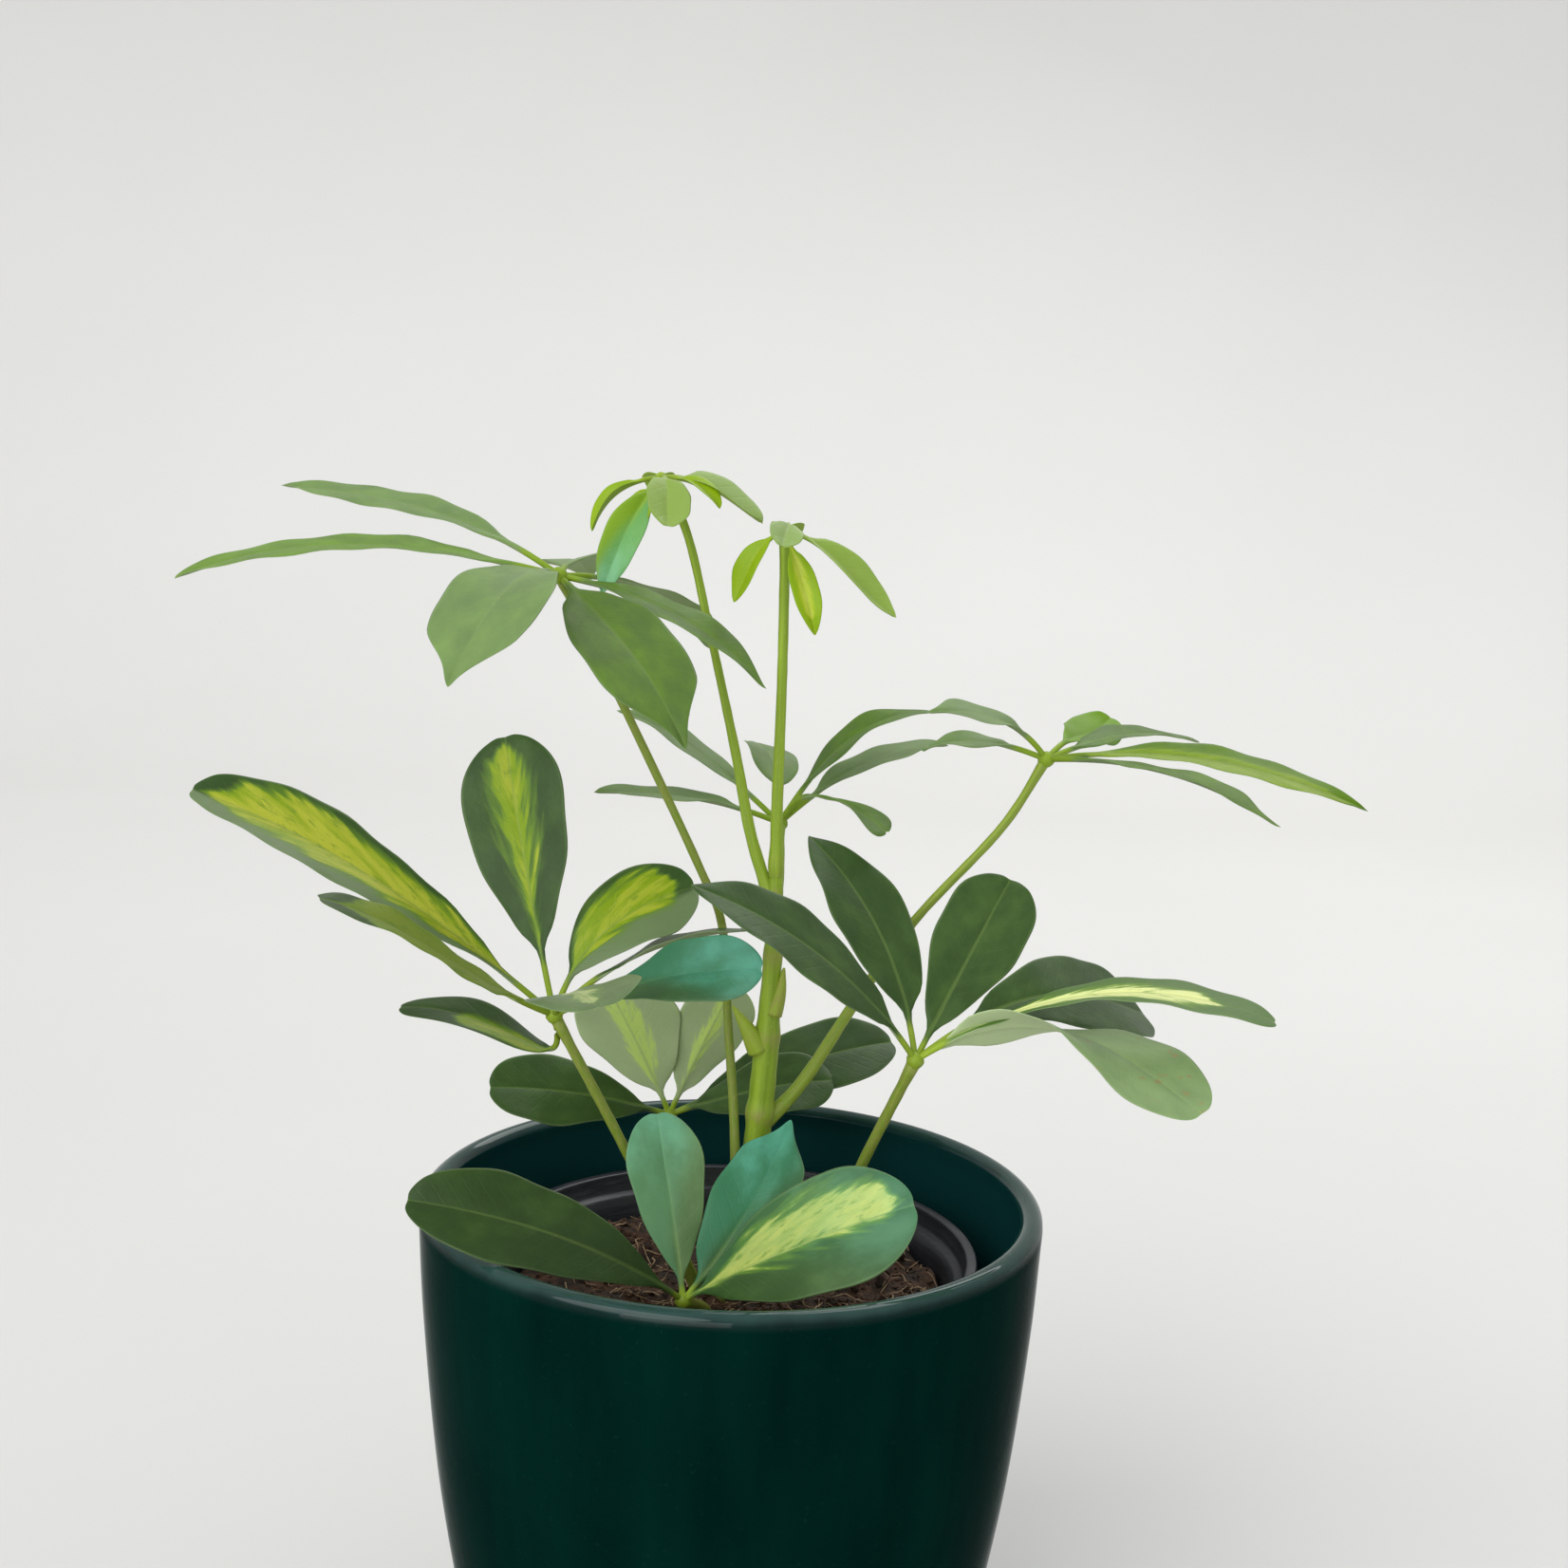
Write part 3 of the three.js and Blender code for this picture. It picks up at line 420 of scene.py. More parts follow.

# heading is counted from +X towards +Y, rise is above the horizontal, and reach is from hub to tip.
# flame gives the yellow's two edges across the blade, where it ends and how slowly it opens.
# tone lightens the green; pale lays a painted sheen over it, and on undersides painted light shining
# through; teal lays a painted teal reflection over it, paleSide paints a sheen on one half;
# cream and lime shift the yellow, and bright scales the whole colour.
leaves = [
    {"name": "upper_left", "skin": "upper", "hub": (-44, -10, 283), "facing": (-0.15, -0.25, 0.95),
     "root": (-2, -8), "path": [(0.5, -4.5, 140), (-2.5, 0.5, 177), (-5, 0.5, 202), (-10, -1, 214),
                                (-34, -6, 263)],
     "stalk": (1.3, 1.0), "petiolule": 10, "fold": 0.12, "tone": 0.1, "pale": 0.45, "outline": "drip",
     "leaflets": [
         {"heading": 162.5, "rise": 13.5, "reach": 73.5, "arch": (10, 5.5), "roll": -3, "width": 11,
          "outline": "pointed"},
         {"heading": -171, "rise": -2, "reach": 85, "arch": (8, 12), "width": 12, "outline": "broad",
          "tone": 0.3, "pale": 0.2},
         {"heading": -108, "rise": -20, "reach": 58, "arch": (13.5, 9.5), "roll": -8, "width": 23.5,
          "petiolule": 6.5},
         {"heading": -51, "rise": -33, "reach": 60, "arch": (3, 11), "width": 22, "petiolule": 4,
          "pale": 0.1, "bright": -0.12},
         {"heading": -5, "rise": -26, "reach": 53.5, "arch": (6, 8), "roll": -4, "width": 14, "petiolule": 5,
          "pale": 0.1},
         {"heading": -30, "rise": -38, "reach": 46, "arch": (1, 3), "width": 7, "petiolule": 5},
         {"heading": 52, "rise": -20, "reach": 58, "arch": (7, 9), "width": 17},
         {"heading": 88, "rise": -5, "reach": 56, "arch": (4, 8), "width": 20},
     ]},
    {"name": "crown_left", "skin": "young", "hub": (-22.5, 5, 305.5), "facing": (0, -0.2, 1),
     "stem": 205, "path": [(1.5, 2, 222), (-3, 3.5, 242), (-10.5, 5, 272), (-16.5, 5, 294)],
     "stalk": (1.5, 1.0), "petiolule": 4, "fold": 0.35, "outline": "pointed", "bright": -0.15,
     "leaflets": [
         {"heading": -166, "rise": -39, "reach": 20.5, "arch": (5, 5), "width": 5, "fold": 0.7},
         {"heading": -140, "rise": -59, "reach": 31, "arch": (9, 8), "width": 9, "fold": 0.45, "roll": -30,
          "teal": 0.75},
         {"heading": -118, "rise": -54, "reach": 20, "arch": (4, 4), "width": 7, "fold": 0.6},
         {"heading": -80, "rise": -30.5, "reach": 20.5, "arch": (6.5, -1), "width": 10.5, "roll": -11,
          "outline": "broad", "pale": 0.5},
         {"heading": -26, "rise": -22, "reach": 17, "arch": (3, 4), "width": 6.5},
         {"heading": 5, "rise": -22, "reach": 26, "arch": (5.5, 1.5), "width": 12, "roll": 4.5,
          "outline": "broad", "pale": 0.6},
         {"heading": 95, "rise": -16, "reach": 22, "arch": (3, 4), "width": 8},
     ]},
    {"name": "crown_right", "skin": "young", "hub": (6.8, 0, 294.6), "facing": (0, -0.15, 1),
     "stem": 216, "path": [(7.3, 0, 228), (7.3, 0, 262)],
     "stalk": (1.5, 1.2), "petiolule": 4, "fold": 0.4, "outline": "pointed", "bright": -0.15,
     "leaflets": [
         {"heading": -160, "rise": -54, "reach": 20.5, "arch": (6.5, 1), "width": 7, "roll": -16,
          "petiolule": 3},
         {"heading": -50, "rise": -62.5, "reach": 26, "arch": (2, 5), "width": 6.5, "roll": 21,
          "flame": (-0.4, 0.4, 0.9, 0.2)},
         {"heading": -9, "rise": -35, "reach": 32.5, "arch": (6, -1.5), "width": 11, "roll": 10, "pale": 0.4},
         {"heading": -92, "rise": -10, "reach": 16, "arch": (5.5, 1), "width": 8, "roll": -17,
          "outline": "obovate", "pale": 0.7},
         {"heading": 88, "rise": -14, "reach": 20, "arch": (3, 4), "width": 8},
     ]},
    {"name": "upper_right", "skin": "upper", "hub": (72, 18, 241), "facing": (0.1, -0.25, 0.95),
     "stem": 151, "path": [(15, 3, 161), (29, 8, 183), (42, 14, 201), (63, 18, 225)],
     "stalk": (1.7, 1.1), "stalkPaint": (0, 0.3), "petiolule": 8, "fold": 0.15, "outline": "drip",
     "leaflets": [
         {"heading": -157, "rise": 20, "reach": 35, "arch": (7, 6), "width": 12, "pale": 0.4},
         {"heading": 165, "rise": 0, "reach": 31, "arch": (4, 5), "width": 10, "pale": 0.4},
         {"heading": 62, "rise": 7.5, "reach": 45.5, "arch": (7, -5), "width": 13.5, "roll": 12, "fold": 0.05,
          "tone": 0.6, "outline": "obovate"},
         {"heading": -14, "rise": -5, "reach": 76.5, "arch": (9, 9), "width": 12.5, "roll": 4, "tone": 0.45,
          "outline": "pointed", "flame": (-0.35, 1.3, 0.98, 0.05), "lime": 1, "bright": -0.3},
         {"heading": -42, "rise": -6, "reach": 65, "arch": (6, 7), "width": 11, "roll": -10, "tone": 0.2,
          "bright": -0.25},
         {"heading": 42, "rise": 0, "reach": 60, "arch": (5, 6), "width": 13, "roll": -10},
     ]},
    {"name": "rear_upper", "skin": "upper", "hub": (8, 28, 221), "facing": (0, -0.1, 1),
     "stem": 196, "path": [(8, 6, 203), (8.5, 15, 212)],
     "stalk": (1.5, 1.1), "petiolule": 9, "fold": 0.15, "pale": 0.4, "outline": "pointed",
     "leaflets": [
         {"heading": -170, "rise": 9, "reach": 47, "arch": (4, 3), "width": 12},
         {"heading": 158, "rise": 28, "reach": 52, "arch": (3, 6), "width": 11},
         {"heading": 103.5, "rise": 26.5, "reach": 35, "arch": (6, 6.5), "width": 14.5, "roll": 18},
         {"heading": 15, "rise": 36, "reach": 48, "arch": (7, 12), "width": 13, "pale": 0},
         {"heading": 31, "rise": 19, "reach": 53, "arch": (6, 8), "width": 12},
         {"heading": -35.5, "rise": 3.5, "reach": 32, "arch": (14, 9), "sway": (1, 2.4), "width": 11,
          "roll": 4.5, "pale": 0.1, "outline": "club"},
     ]},
    {"name": "right", "skin": "mature", "hub": (41, -25, 177), "facing": (0.2, -0.45, 0.87),
     "root": (17, -4), "path": [(30, -14, 147)],
     "stalk": (1.8, 1.3), "petiolule": 8, "fold": 0.08, "outline": "obovate",
     "leaflets": [
         {"heading": -162, "rise": 38, "reach": 69, "arch": (8, 9), "width": 21, "outline": "pointed"},
         {"heading": 127, "rise": 46, "reach": 62, "arch": (5, 5), "width": 20, "sway": (5, 5),
          "outline": "pointed"},
         {"heading": 56, "rise": 41, "reach": 55, "arch": (3, 2), "width": 21.5, "petiolule": 5, "tone": 0.1},
         {"heading": 31.5, "rise": 3, "reach": 67.5, "arch": (27.5, 12.5), "width": 25, "roll": 5},
         {"heading": -9, "rise": 11, "reach": 81, "arch": (13.5, 16), "width": 18, "roll": -22,
          "outline": "spoon", "flame": (-0.35, 0.55, 0.9, 0.2), "tone": 1, "cream": 0.7, "bright": 0.25},
         {"heading": -28.5, "rise": 0, "reach": 68, "arch": (23, 13), "sway": (6, 0), "width": 26,
          "roll": -72, "twist": 83, "petiolule": 3.4, "outline": "broad", "tone": 0.3, "pale": 0.6,
          "blemish": 0.6, "bright": 0.35},
     ]},
    {"name": "left", "skin": "mature", "hub": (-42, -20, 183), "facing": (-0.3, -0.4, 0.87),
     "root": (-7, -5), "path": [(-25, -12, 148)],
     "stalk": (1.7, 1.2), "petiolule": 12, "fold": 0.12, "outline": "obovate",
     "leaflets": [
         {"heading": -169, "rise": 33, "reach": 96, "arch": (6, 10), "width": 20.5, "fold": 0.28,
          "flame": (-0.5, 0.72, 0.99, 0.1), "paleSide": -0.5},
         {"heading": -136, "rise": 29.5, "reach": 72, "arch": (-2.5, 5), "width": 12.5, "roll": -19,
          "outline": "broad", "flame": (-1.3, 1.3, 0.85, 0.02), "pale": 0.15, "lime": 1, "bright": -0.2},
         {"heading": 172, "rise": -1.5, "reach": 37, "arch": (-22.5, 3), "lead": (-0.07, 0.3), "width": 12,
          "roll": 9, "petiolule": 9, "flame": (-0.8, 0.1, 0.8, 0.02), "lime": 0.6, "bright": -0.2},
         {"heading": 121, "rise": 63, "reach": 68, "arch": (3, 2), "width": 25,
          "flame": (-0.42, 0.3, 1.02, 0.8), "lime": 0.5},
         {"heading": 29, "rise": 38, "reach": 45, "arch": (6, 5), "width": 22, "roll": 20, "sway": (-7, -6),
          "petiolule": 7, "flame": (-0.75, 0.2, 0.95, 0.3), "lime": 0.5, "paleSide": 0.3},
         {"heading": 16, "rise": 21, "reach": 52.5, "arch": (8, 7), "width": 14, "roll": -30},
         {"heading": -22, "rise": 19, "reach": 54.5, "arch": (4, 5), "width": 16, "twist": 40, "fold": 0.25,
          "teal": 1},
         {"heading": -74, "rise": 17, "reach": 54.5, "arch": (6, 5), "width": 25, "roll": -17, "pale": 0.55,
          "flame": (-0.12, 0.2, 0.98, 0.1), "cream": 0.7},
     ]},
    # The undersides seen here are made paler and brighter: painted light shining through them.
    {"name": "rear_low", "skin": "mature", "hub": (-18, 45, 139), "facing": (0, 0.9, 0.35),
     "root": (-11, 21), "path": [(-15, 35, 125)],
     "stalk": (1.6, 1.2), "petiolule": 5, "fold": 0.08, "outline": "obovate",
     "leaflets": [
         {"heading": -158, "rise": 13, "reach": 50, "arch": (4, 5), "width": 21, "roll": -105},
         {"heading": -136, "rise": 60, "reach": 44, "arch": (3, 2), "width": 27,
          "flame": (-0.3, 0.25, 1.0, 0.3), "pale": 0.4, "lime": 0.4, "bright": 0.35},
         {"heading": -40, "rise": 62, "reach": 44, "arch": (3, 2), "width": 19,
          "flame": (-0.15, 0.2, 1.0, 0.3), "pale": 0.2, "lime": 0.4, "bright": 0.3},
         {"heading": 2, "rise": 14, "reach": 44, "arch": (3, 4), "width": 20, "roll": 105},
         {"heading": 18, "rise": 15, "reach": 64, "arch": (4, 6), "width": 23, "roll": 105},
     ]},
    {"name": "front_low", "skin": "mature", "hub": (-10, -27, 118), "facing": (0.1, -0.75, 0.65),
     "root": (-5, -13), "path": [(-7, -20, 114)],
     "stalk": (1.6, 1.4), "petiolule": 4, "fold": 0.1, "outline": "obovate",
     "leaflets": [
         {"heading": -164, "rise": 24, "reach": 70, "arch": (11, 11), "width": 22, "roll": 8,
          "bright": -0.22},
         {"heading": 115, "rise": 63, "reach": 44, "arch": (4, 3), "width": 18, "petiolule": 3, "teal": 0.7,
          "pale": 0.2, "bright": 0.55},
         {"heading": 42, "rise": 50, "reach": 49, "arch": (4, 4), "width": 19, "sway": (3, 3),
          "outline": "drip", "teal": 0.95, "bright": 0.35},
         {"heading": -16, "rise": 30, "reach": 62, "arch": (6, 6), "width": 27, "petiolule": 3,
          "flame": (-0.64, 0.04, 1.0, 0.3), "teal": 0.3, "cream": 0.25, "bright": 0.4},
     ]},
]


def outlineAt(share, near, far, drawn):
    widest = near / (near + far)
    width = share ** near * (1 - share) ** far / (widest ** near * (1 - widest) ** far)
    return width * (1 - drawn * smooth(share, 0.75, 0.97))


# What one row of a leaflet needs: where its middle lies, how it is turned and how wide it is
def leafletRow(leaf, spec, shape, handles, up, along, seed, t):
    bare = spec.get("petiolule", leaf["petiolule"]) / spec["reach"]
    bladeFrom = shape["stalkRows"]
    share = 0.0 if t <= bladeFrom else 1 - (1 - (t - bladeFrom) / (1 - bladeFrom)) ** shape["crowding"]
    station = bare * t / bladeFrom if t <= bladeFrom else mix(bare, 1, share)
    way = bezierWay(handles, station)
    twist = math.radians(spec.get("twist", 0)) * share
    normal = Matrix.Rotation(twist, 3, along) @ up
    normal = (normal - way * normal.dot(way)).normalized()
    halfWidth = spec["width"] / 2
    outline = outlines[spec.get("outline", leaf["outline"])]
    half = halfWidth * outlineAt(share, **outline) * (1 + 0.025 * math.sin(seed * 40 + share * 17))
    return {
        "share": share, "run": (station - bare) * spec["reach"], "middle": bezierAt(handles, station),
        "way": way, "normal": normal, "side": way.cross(normal), "half": half, "halfWidth": halfWidth,
        "isBlade": smooth(share, 0.0, 0.16), "thin": math.sqrt(max(0.0, 1 - smooth(share, 0.955, 1.0))),
        "open": 1.0 if t > 0 else 0.0, "notch": shape["notch"] * (outline["far"] < 0.6),
    }


def leafletPoint(row, spec, shape, fold, seed, column):
    turn = column / shape["around"]
    top = turn <= 0.5
    tau = 4 * turn - 1 if top else 3 - 4 * turn  # -1 and 1 at the edges, 0 on the midrib
    face = 1 if top else -1
    across = math.copysign((1 - math.cos(math.pi * abs(tau))) / 2, tau)
    outward = abs(across)
    half, isBlade, run = row["half"], row["isBlade"], row["run"]
    aside = across * half
    stalk = shape["stalkRadius"] * row["open"]
    wave = shape["wave"] * math.sin(spec["heading"] + 9 * row["share"])
    ruffle = shape["wave"] * 0.5 * math.sin(seed * 30 + run / 2.3 + (2 if across > 0 else 0)) * outward ** 3
    lift = (fold * half + wave) * (math.hypot(outward, 0.06) - 0.06) + ruffle
    edge = math.sqrt(max(0.0, 1 - outward ** 6))
    relief = (-shape["groove"] * math.exp(-(aside / shape["grooveWidth"]) ** 2) if top
              else -shape["rib"] * math.exp(-(aside / shape["ribWidth"]) ** 2) * (1 - row["share"] * 0.7))
    bladeHeight = (lift + face * shape["thickness"] / 2 * edge + relief) * row["thin"]
    x = mix(math.sin(tau * math.pi / 2) * stalk, aside, isBlade)
    z = mix(face * math.cos(tau * math.pi / 2) * stalk, bladeHeight, isBlade)
    pull = row["notch"] * smooth(row["share"], 0.9, 1.0) * math.exp(-(aside / (0.12 * row["halfWidth"])) ** 2)
    point = row["middle"] + row["side"] * x + row["normal"] * z - row["way"] * pull
    under = 0.5 if abs(tau) > 0.999 else (0.0 if top else 1.0)
    return point, (row["share"], across, under), (run, aside, seed)


def makeLeaflet(bm, leaf, spec, shape, seed):
    heading, rise = math.radians(spec["heading"]), math.radians(spec["rise"])
    along = Vector((math.cos(heading) * math.cos(rise), math.sin(heading) * math.cos(rise), math.sin(rise)))
    facing = Vector(leaf["facing"])
    up = (facing - along * facing.dot(along)).normalized()
    up = Matrix.Rotation(math.radians(spec.get("roll", 0)), 3, along) @ up
    aside = along.cross(up)
    sway = spec.get("sway", (0, 0))
    reach, arch, lead = spec["reach"], spec["arch"], spec.get("lead", (1 / 3, 2 / 3))
    handles = [Vector(), along * reach * lead[0] + up * arch[0] + aside * sway[0],
               along * reach * lead[1] + up * arch[1] + aside * sway[1], along * reach]
    hub = Vector(leaf["hub"])
    rows = [leafletRow(leaf, spec, shape, handles, up, along, seed, row / shape["rows"])
            for row in range(shape["rows"] + 1)]
    fold = spec.get("fold", leaf["fold"])
    low, high, end, opening = spec.get("flame", (0, 0, 1, 0.1))
    chosen = {key: spec.get(key, leaf.get(key, 0))
              for key in ("tone", "blemish", "teal", "pale", "paleSide", "cream", "bright", "lime")}
    paint = {"leafFlame": (low, high, end), "leafPaint": (opening, chosen["tone"], chosen["blemish"]),
             "leafPaintedLight": (chosen["teal"], chosen["pale"], chosen["paleSide"]),
             "leafTint": (chosen["cream"], chosen["bright"], chosen["lime"])}
    paint = {layerOf(bm, name): values for name, values in paint.items()}
    placeLayer, sizeLayer = layerOf(bm, "leafPlace"), layerOf(bm, "leafSize")
    for vert, row, column in rolledGrid(bm, shape["rows"], shape["around"]):
        point, place, size = leafletPoint(rows[row], spec, shape, fold, seed, column)
        vert.co = hub + point
        vert[placeLayer], vert[sizeLayer] = place, size
        for layer, values in paint.items():
            vert[layer] = values


slots = {"mature": "variegated_leaf", "upper": "leaf", "young": "young_leaf"}


def makeWhorl(leaf):
    shape = youngBlade if leaf["skin"] == "young" else blade
    bm = bmesh.new()
    for spec in leaf["leaflets"]:
        makeLeaflet(bm, leaf, spec, shape, dice.random())
    hub = bmesh.ops.create_icosphere(bm, subdivisions=3, radius=shape["hubRadius"])["verts"]
    sizeLayer = layerOf(bm, "leafSize")
    for vert in hub:
        vert.co += vert.co.normalized() * noise.noise(vert.co * 1.3) * 0.25 + Vector(leaf["hub"])
        vert[sizeLayer] = (-5, 0, 0)
    nodes, slot = ["leaflets_" + leaf["name"]], slots[leaf["skin"]]
    finishPiece(bm, "whorl_" + leaf["name"], nodes, [leaf["skin"]])


for leaf in leaves:
    makeWhorl(leaf)
print("leaflets made")


def stemPointAt(height):
    path = stem["path"]
    if height >= path[-1][2]:
        return (*path[-1][:2], height)
    low, high = next((a, b) for a, b in zip(path, path[1:]) if b[2] >= height)
    share = (height - low[2]) / (high[2] - low[2])
    return (mix(low[0], high[0], share), mix(low[1], high[1], share), height)


leafStalk = {
    "sheath": 0.1, "stemSheath": 0.25, "sheathLength": 11, "swelling": 0.28, "swellingLength": 7,
    "around": 20, "paint": (-0.2, 0.45), "stemPaint": (0.1, 0.05),  # tone and brown
}


def makeStalk(leaf):
    near, far = leaf["stalk"]
    s = leafStalk
    if "root" in leaf:
        start = [(*leaf["root"], soil["height"] - soil["rootDepth"]), (*leaf["root"], soil["height"] - 2)]
    else:
        start = [stemPointAt(min(leaf["stem"], stem["path"][-1][2] - 3))]
    line = throughPoints([*start, *leaf["path"], leaf["hub"]], 9)
    seed = dice.random()
    fromStem = "stem" in leaf

    def radiusAt(run, length):
        radius = mix(near, far, smooth(run / length, 0, 0.6))
        radius *= 1 + s["stemSheath" if fromStem else "sheath"] * smooth(run, s["sheathLength"], 3)
        radius *= 1 + s["swelling"] * smooth(run, length - s["swellingLength"], length - 1)
        radius *= mix(0.8, 1, smooth(run, 0, 3))
        return radius * (1 + 0.03 * math.sin(run * 0.7 + seed * 9))

    bm = bmesh.new()
    tone, brown = leaf.get("stalkPaint", s["stemPaint" if fromStem else "paint"])
    stalkTube(bm, line, radiusAt, s["around"], lambda run: (tone, brown + 0.25 * smooth(run, 8, 1), seed))
    finishPiece(bm, "stalk_" + leaf["name"], ["petiole_" + leaf["name"]], ["stalk"])


def makeStem():
    line = throughPoints(stem["path"], 16)
    foot, top = line[0].z, line[-1].z

    def radiusAt(run, length):
        height = foot + run * (top - foot) / length
        if height < stem["middleHeight"]:
            radius = mix(stem["foot"], stem["middle"], smooth(height, soil["height"], stem["middleHeight"]))
        else:
            radius = mix(stem["middle"], stem["top"], smooth(height, stem["middleHeight"], top))
        for joint, swell in stem["joints"]:
            gap = (height - joint) / stem["jointSpread"]
            radius += swell * math.exp(-gap * gap) + 0.15 * swell * math.exp(-((gap - 0.9) * 3.5) ** 2)
        return radius + 0.04 * math.sin(height * 0.9)

    bm = bmesh.new()
    nearJoint = lambda run: max(math.exp(-((foot + run - joint) / 2.0) ** 2) for joint, _ in stem["joints"])
    stalkTube(bm, line, radiusAt, 32, lambda run: (0.12, 0.6 * nearJoint(run), 0.3))
    for start, end, radius, brown in stem["stipules"]:
        points = throughPoints([start, (Vector(start) + Vector(end)) / 2 + Vector((0.4, -0.3, 0)), end], 8)
        stalkTube(bm, points, lambda run, length, r=radius: mix(r, 0.3, (run / length) ** 1.4), 14,
                  lambda run, b=brown: (0.3, b, 0.6))
    finishPiece(bm, "stem", ["main_stem"], ["stalk"])


for leaf in leaves:
    makeStalk(leaf)
makeStem()
print("stem and leaf stalks made")


pot = {
    "height": 135, "rim": 75, "foot": 51, "wallRim": 5.5, "wallFoot": 7, "lip": 2.75, "steps": 144,
    "recess": [(0, 1.2), (44, 1.2), (45, 0.4), (46, 0)], "floor": [(48, 10), (43, 7), (0, 7)],
    "side": [(51.8, 0.8), (54.6, 5), (60.8, 21), (68.7, 60), (73.6, 106), (75, 131.5)],
}
nursery = {
    "foot": 7.3, "footRadius": 41, "rimHeight": 121, "rimRadius": 60, "stepRadius": 54.6, "wall": 1.3,
    "steps": 120, "drainHoles": 5, "holeRadius": 4, "holeCircle": 26,
}


def spunShell(bm, profile, steps):
    verts = [bm.verts.new((radius, 0, height)) for radius, height in profile]
    edges = [bm.edges.new(pair) for pair in zip(verts, verts[1:])]
    bmesh.ops.spin(bm, geom=verts + edges, cent=(0, 0, 0), axis=(0, 0, 1), angle=2 * math.pi,
                   steps=steps, use_merge=True)


def arc(centre, radius, first, last, count):
    angles = [math.radians(mix(first, last, i / count)) for i in range(count + 1)]
    return [(centre[0] + radius * math.cos(a), centre[1] + radius * math.sin(a)) for a in angles]


def makeCoverPot():
    side = [(point.x, point.z) for point in throughPoints([(r, 0, z) for r, z in pot["side"]], 10)]
    mouth = pot["rim"] - pot["wallRim"]
    lip = arc((pot["rim"] - pot["lip"], pot["height"] - pot["lip"]), pot["lip"], 8, 172, 14)
    inner = [(r - mix(pot["wallFoot"], pot["wallRim"], z / pot["height"]), z) for r, z in reversed(side)
             if 14 < z < pot["height"] - 6]
    profile = [*pot["recess"], (pot["foot"] - 1, 0), *side, *lip[1:], (mouth, pot["height"] - 4), *inner,
               *pot["floor"]]
    bm = bmesh.new()
    spunShell(bm, profile, pot["steps"])
    bmesh.ops.remove_doubles(bm, verts=bm.verts, dist=1e-3)
    for face in bm.faces:
        middle = face.calc_center_median()
        if middle.z < 1.3 and math.hypot(middle.x, middle.y) < pot["foot"] + 0.4:
            face.material_index = 1
    finishPiece(bm, "coverPot", ["ceramic_pot"], ["glaze", "clay"])


def makeNurseryPot():
    n = nursery
    step = n["rimHeight"] - 8
    inside = lambda z: mix(n["footRadius"], n["stepRadius"], (z - n["foot"]) / (step - n["foot"])) - n["wall"]
    rim, top = n["rimRadius"], n["rimHeight"]
    profile = [
        (0, n["foot"]), (n["footRadius"] - 1, n["foot"]), (n["footRadius"] - 0.2, n["foot"] + 0.3),
        (n["footRadius"] + 0.6, n["foot"] + 1.2), (n["stepRadius"], step), (rim - 1.2, step + 0.3),
        (rim - 0.8, step + 0.7), (rim, top - 0.8), *arc((rim - 0.6, top - 0.6), 0.6, 20, 90, 4),
        *arc((rim - 2.2, top - 0.6), 0.6, 90, 170, 4), (rim - 3.2, top - 4), (rim - 3.7, top - 4.7),
        (rim - 5.0, top - 5.1), (rim - 5.6, top - 5.6), (inside(step), step),
        (inside(n["foot"] + 1.6), n["foot"] + 1.6), (0, n["foot"] + 1.6),
    ]
    bm = bmesh.new()
    spunShell(bm, profile, n["steps"])
    drillHoles(finishPiece(bm, "nurseryPot", ["nursery_pot"], ["nursery"]))


# Cuts the drain holes through the floor and keeps the result as a plain mesh
def drillHoles(piece):
    n = nursery
    bm = bmesh.new()
    for i in range(n["drainHoles"]):
        angle = 2 * math.pi * i / n["drainHoles"]
        middle = Vector((math.cos(angle), math.sin(angle), 0)) * n["holeCircle"] + Vector((0, 0, n["foot"]))
        bmesh.ops.create_cone(bm, cap_ends=True, segments=32, radius1=n["holeRadius"],
                              radius2=n["holeRadius"], depth=12, matrix=Matrix.Translation(middle))
    bmesh.ops.scale(bm, vec=(millimetre,) * 3, verts=bm.verts)
    drills = bpy.data.meshes.new("drills")
    bm.to_mesh(drills)
    bm.free()
    cutter = bpy.data.objects.new("drills", drills)
    bpy.context.scene.collection.objects.link(cutter)
    modifier = piece.modifiers.new("holes", "BOOLEAN")
    modifier.object = cutter
    drilled = bpy.data.meshes.new_from_object(piece.evaluated_get(bpy.context.evaluated_depsgraph_get()))
    piece.modifiers.clear()
    piece.data = drilled
    bpy.data.objects.remove(cutter)


makeCoverPot()
makeNurseryPot()
print("pots made")


mixture = {"radius": 52.2, "footRadius": 39.4, "foot": 9.4, "rings": 56, "steps": 180, "lump": 0.6,
           "crumbs": 1500, "fibres": 420}


def soilHeightAt(x, y):
    lumps = math.sin(x * 0.31 + 1) * math.cos(y * 0.27) + math.sin(x * 0.13 - y * 0.41)
    fine = noise.fractal(Vector((x, y, 3)) * 0.22, 0.9, 2.1, 4)
    return soil["height"] + mixture["lump"] * lumps + 1.1 * fine


def makeSoil():
    m = mixture
    top = [(m["radius"] * (1 - i / m["rings"]), soil["height"] - 1.5 * (i == 0))
           for i in range(m["rings"] + 1)]
    bm = bmesh.new()
    spunShell(bm, [(0, m["foot"]), (m["footRadius"], m["foot"]), *top], m["steps"])
    for vert in bm.verts:
        x, y, z = vert.co
        if z > soil["height"] - 1:
            vert.co.z = soilHeightAt(x, y)
    finishPiece(bm, "pottingMix", ["potting_mix"], ["coir"])


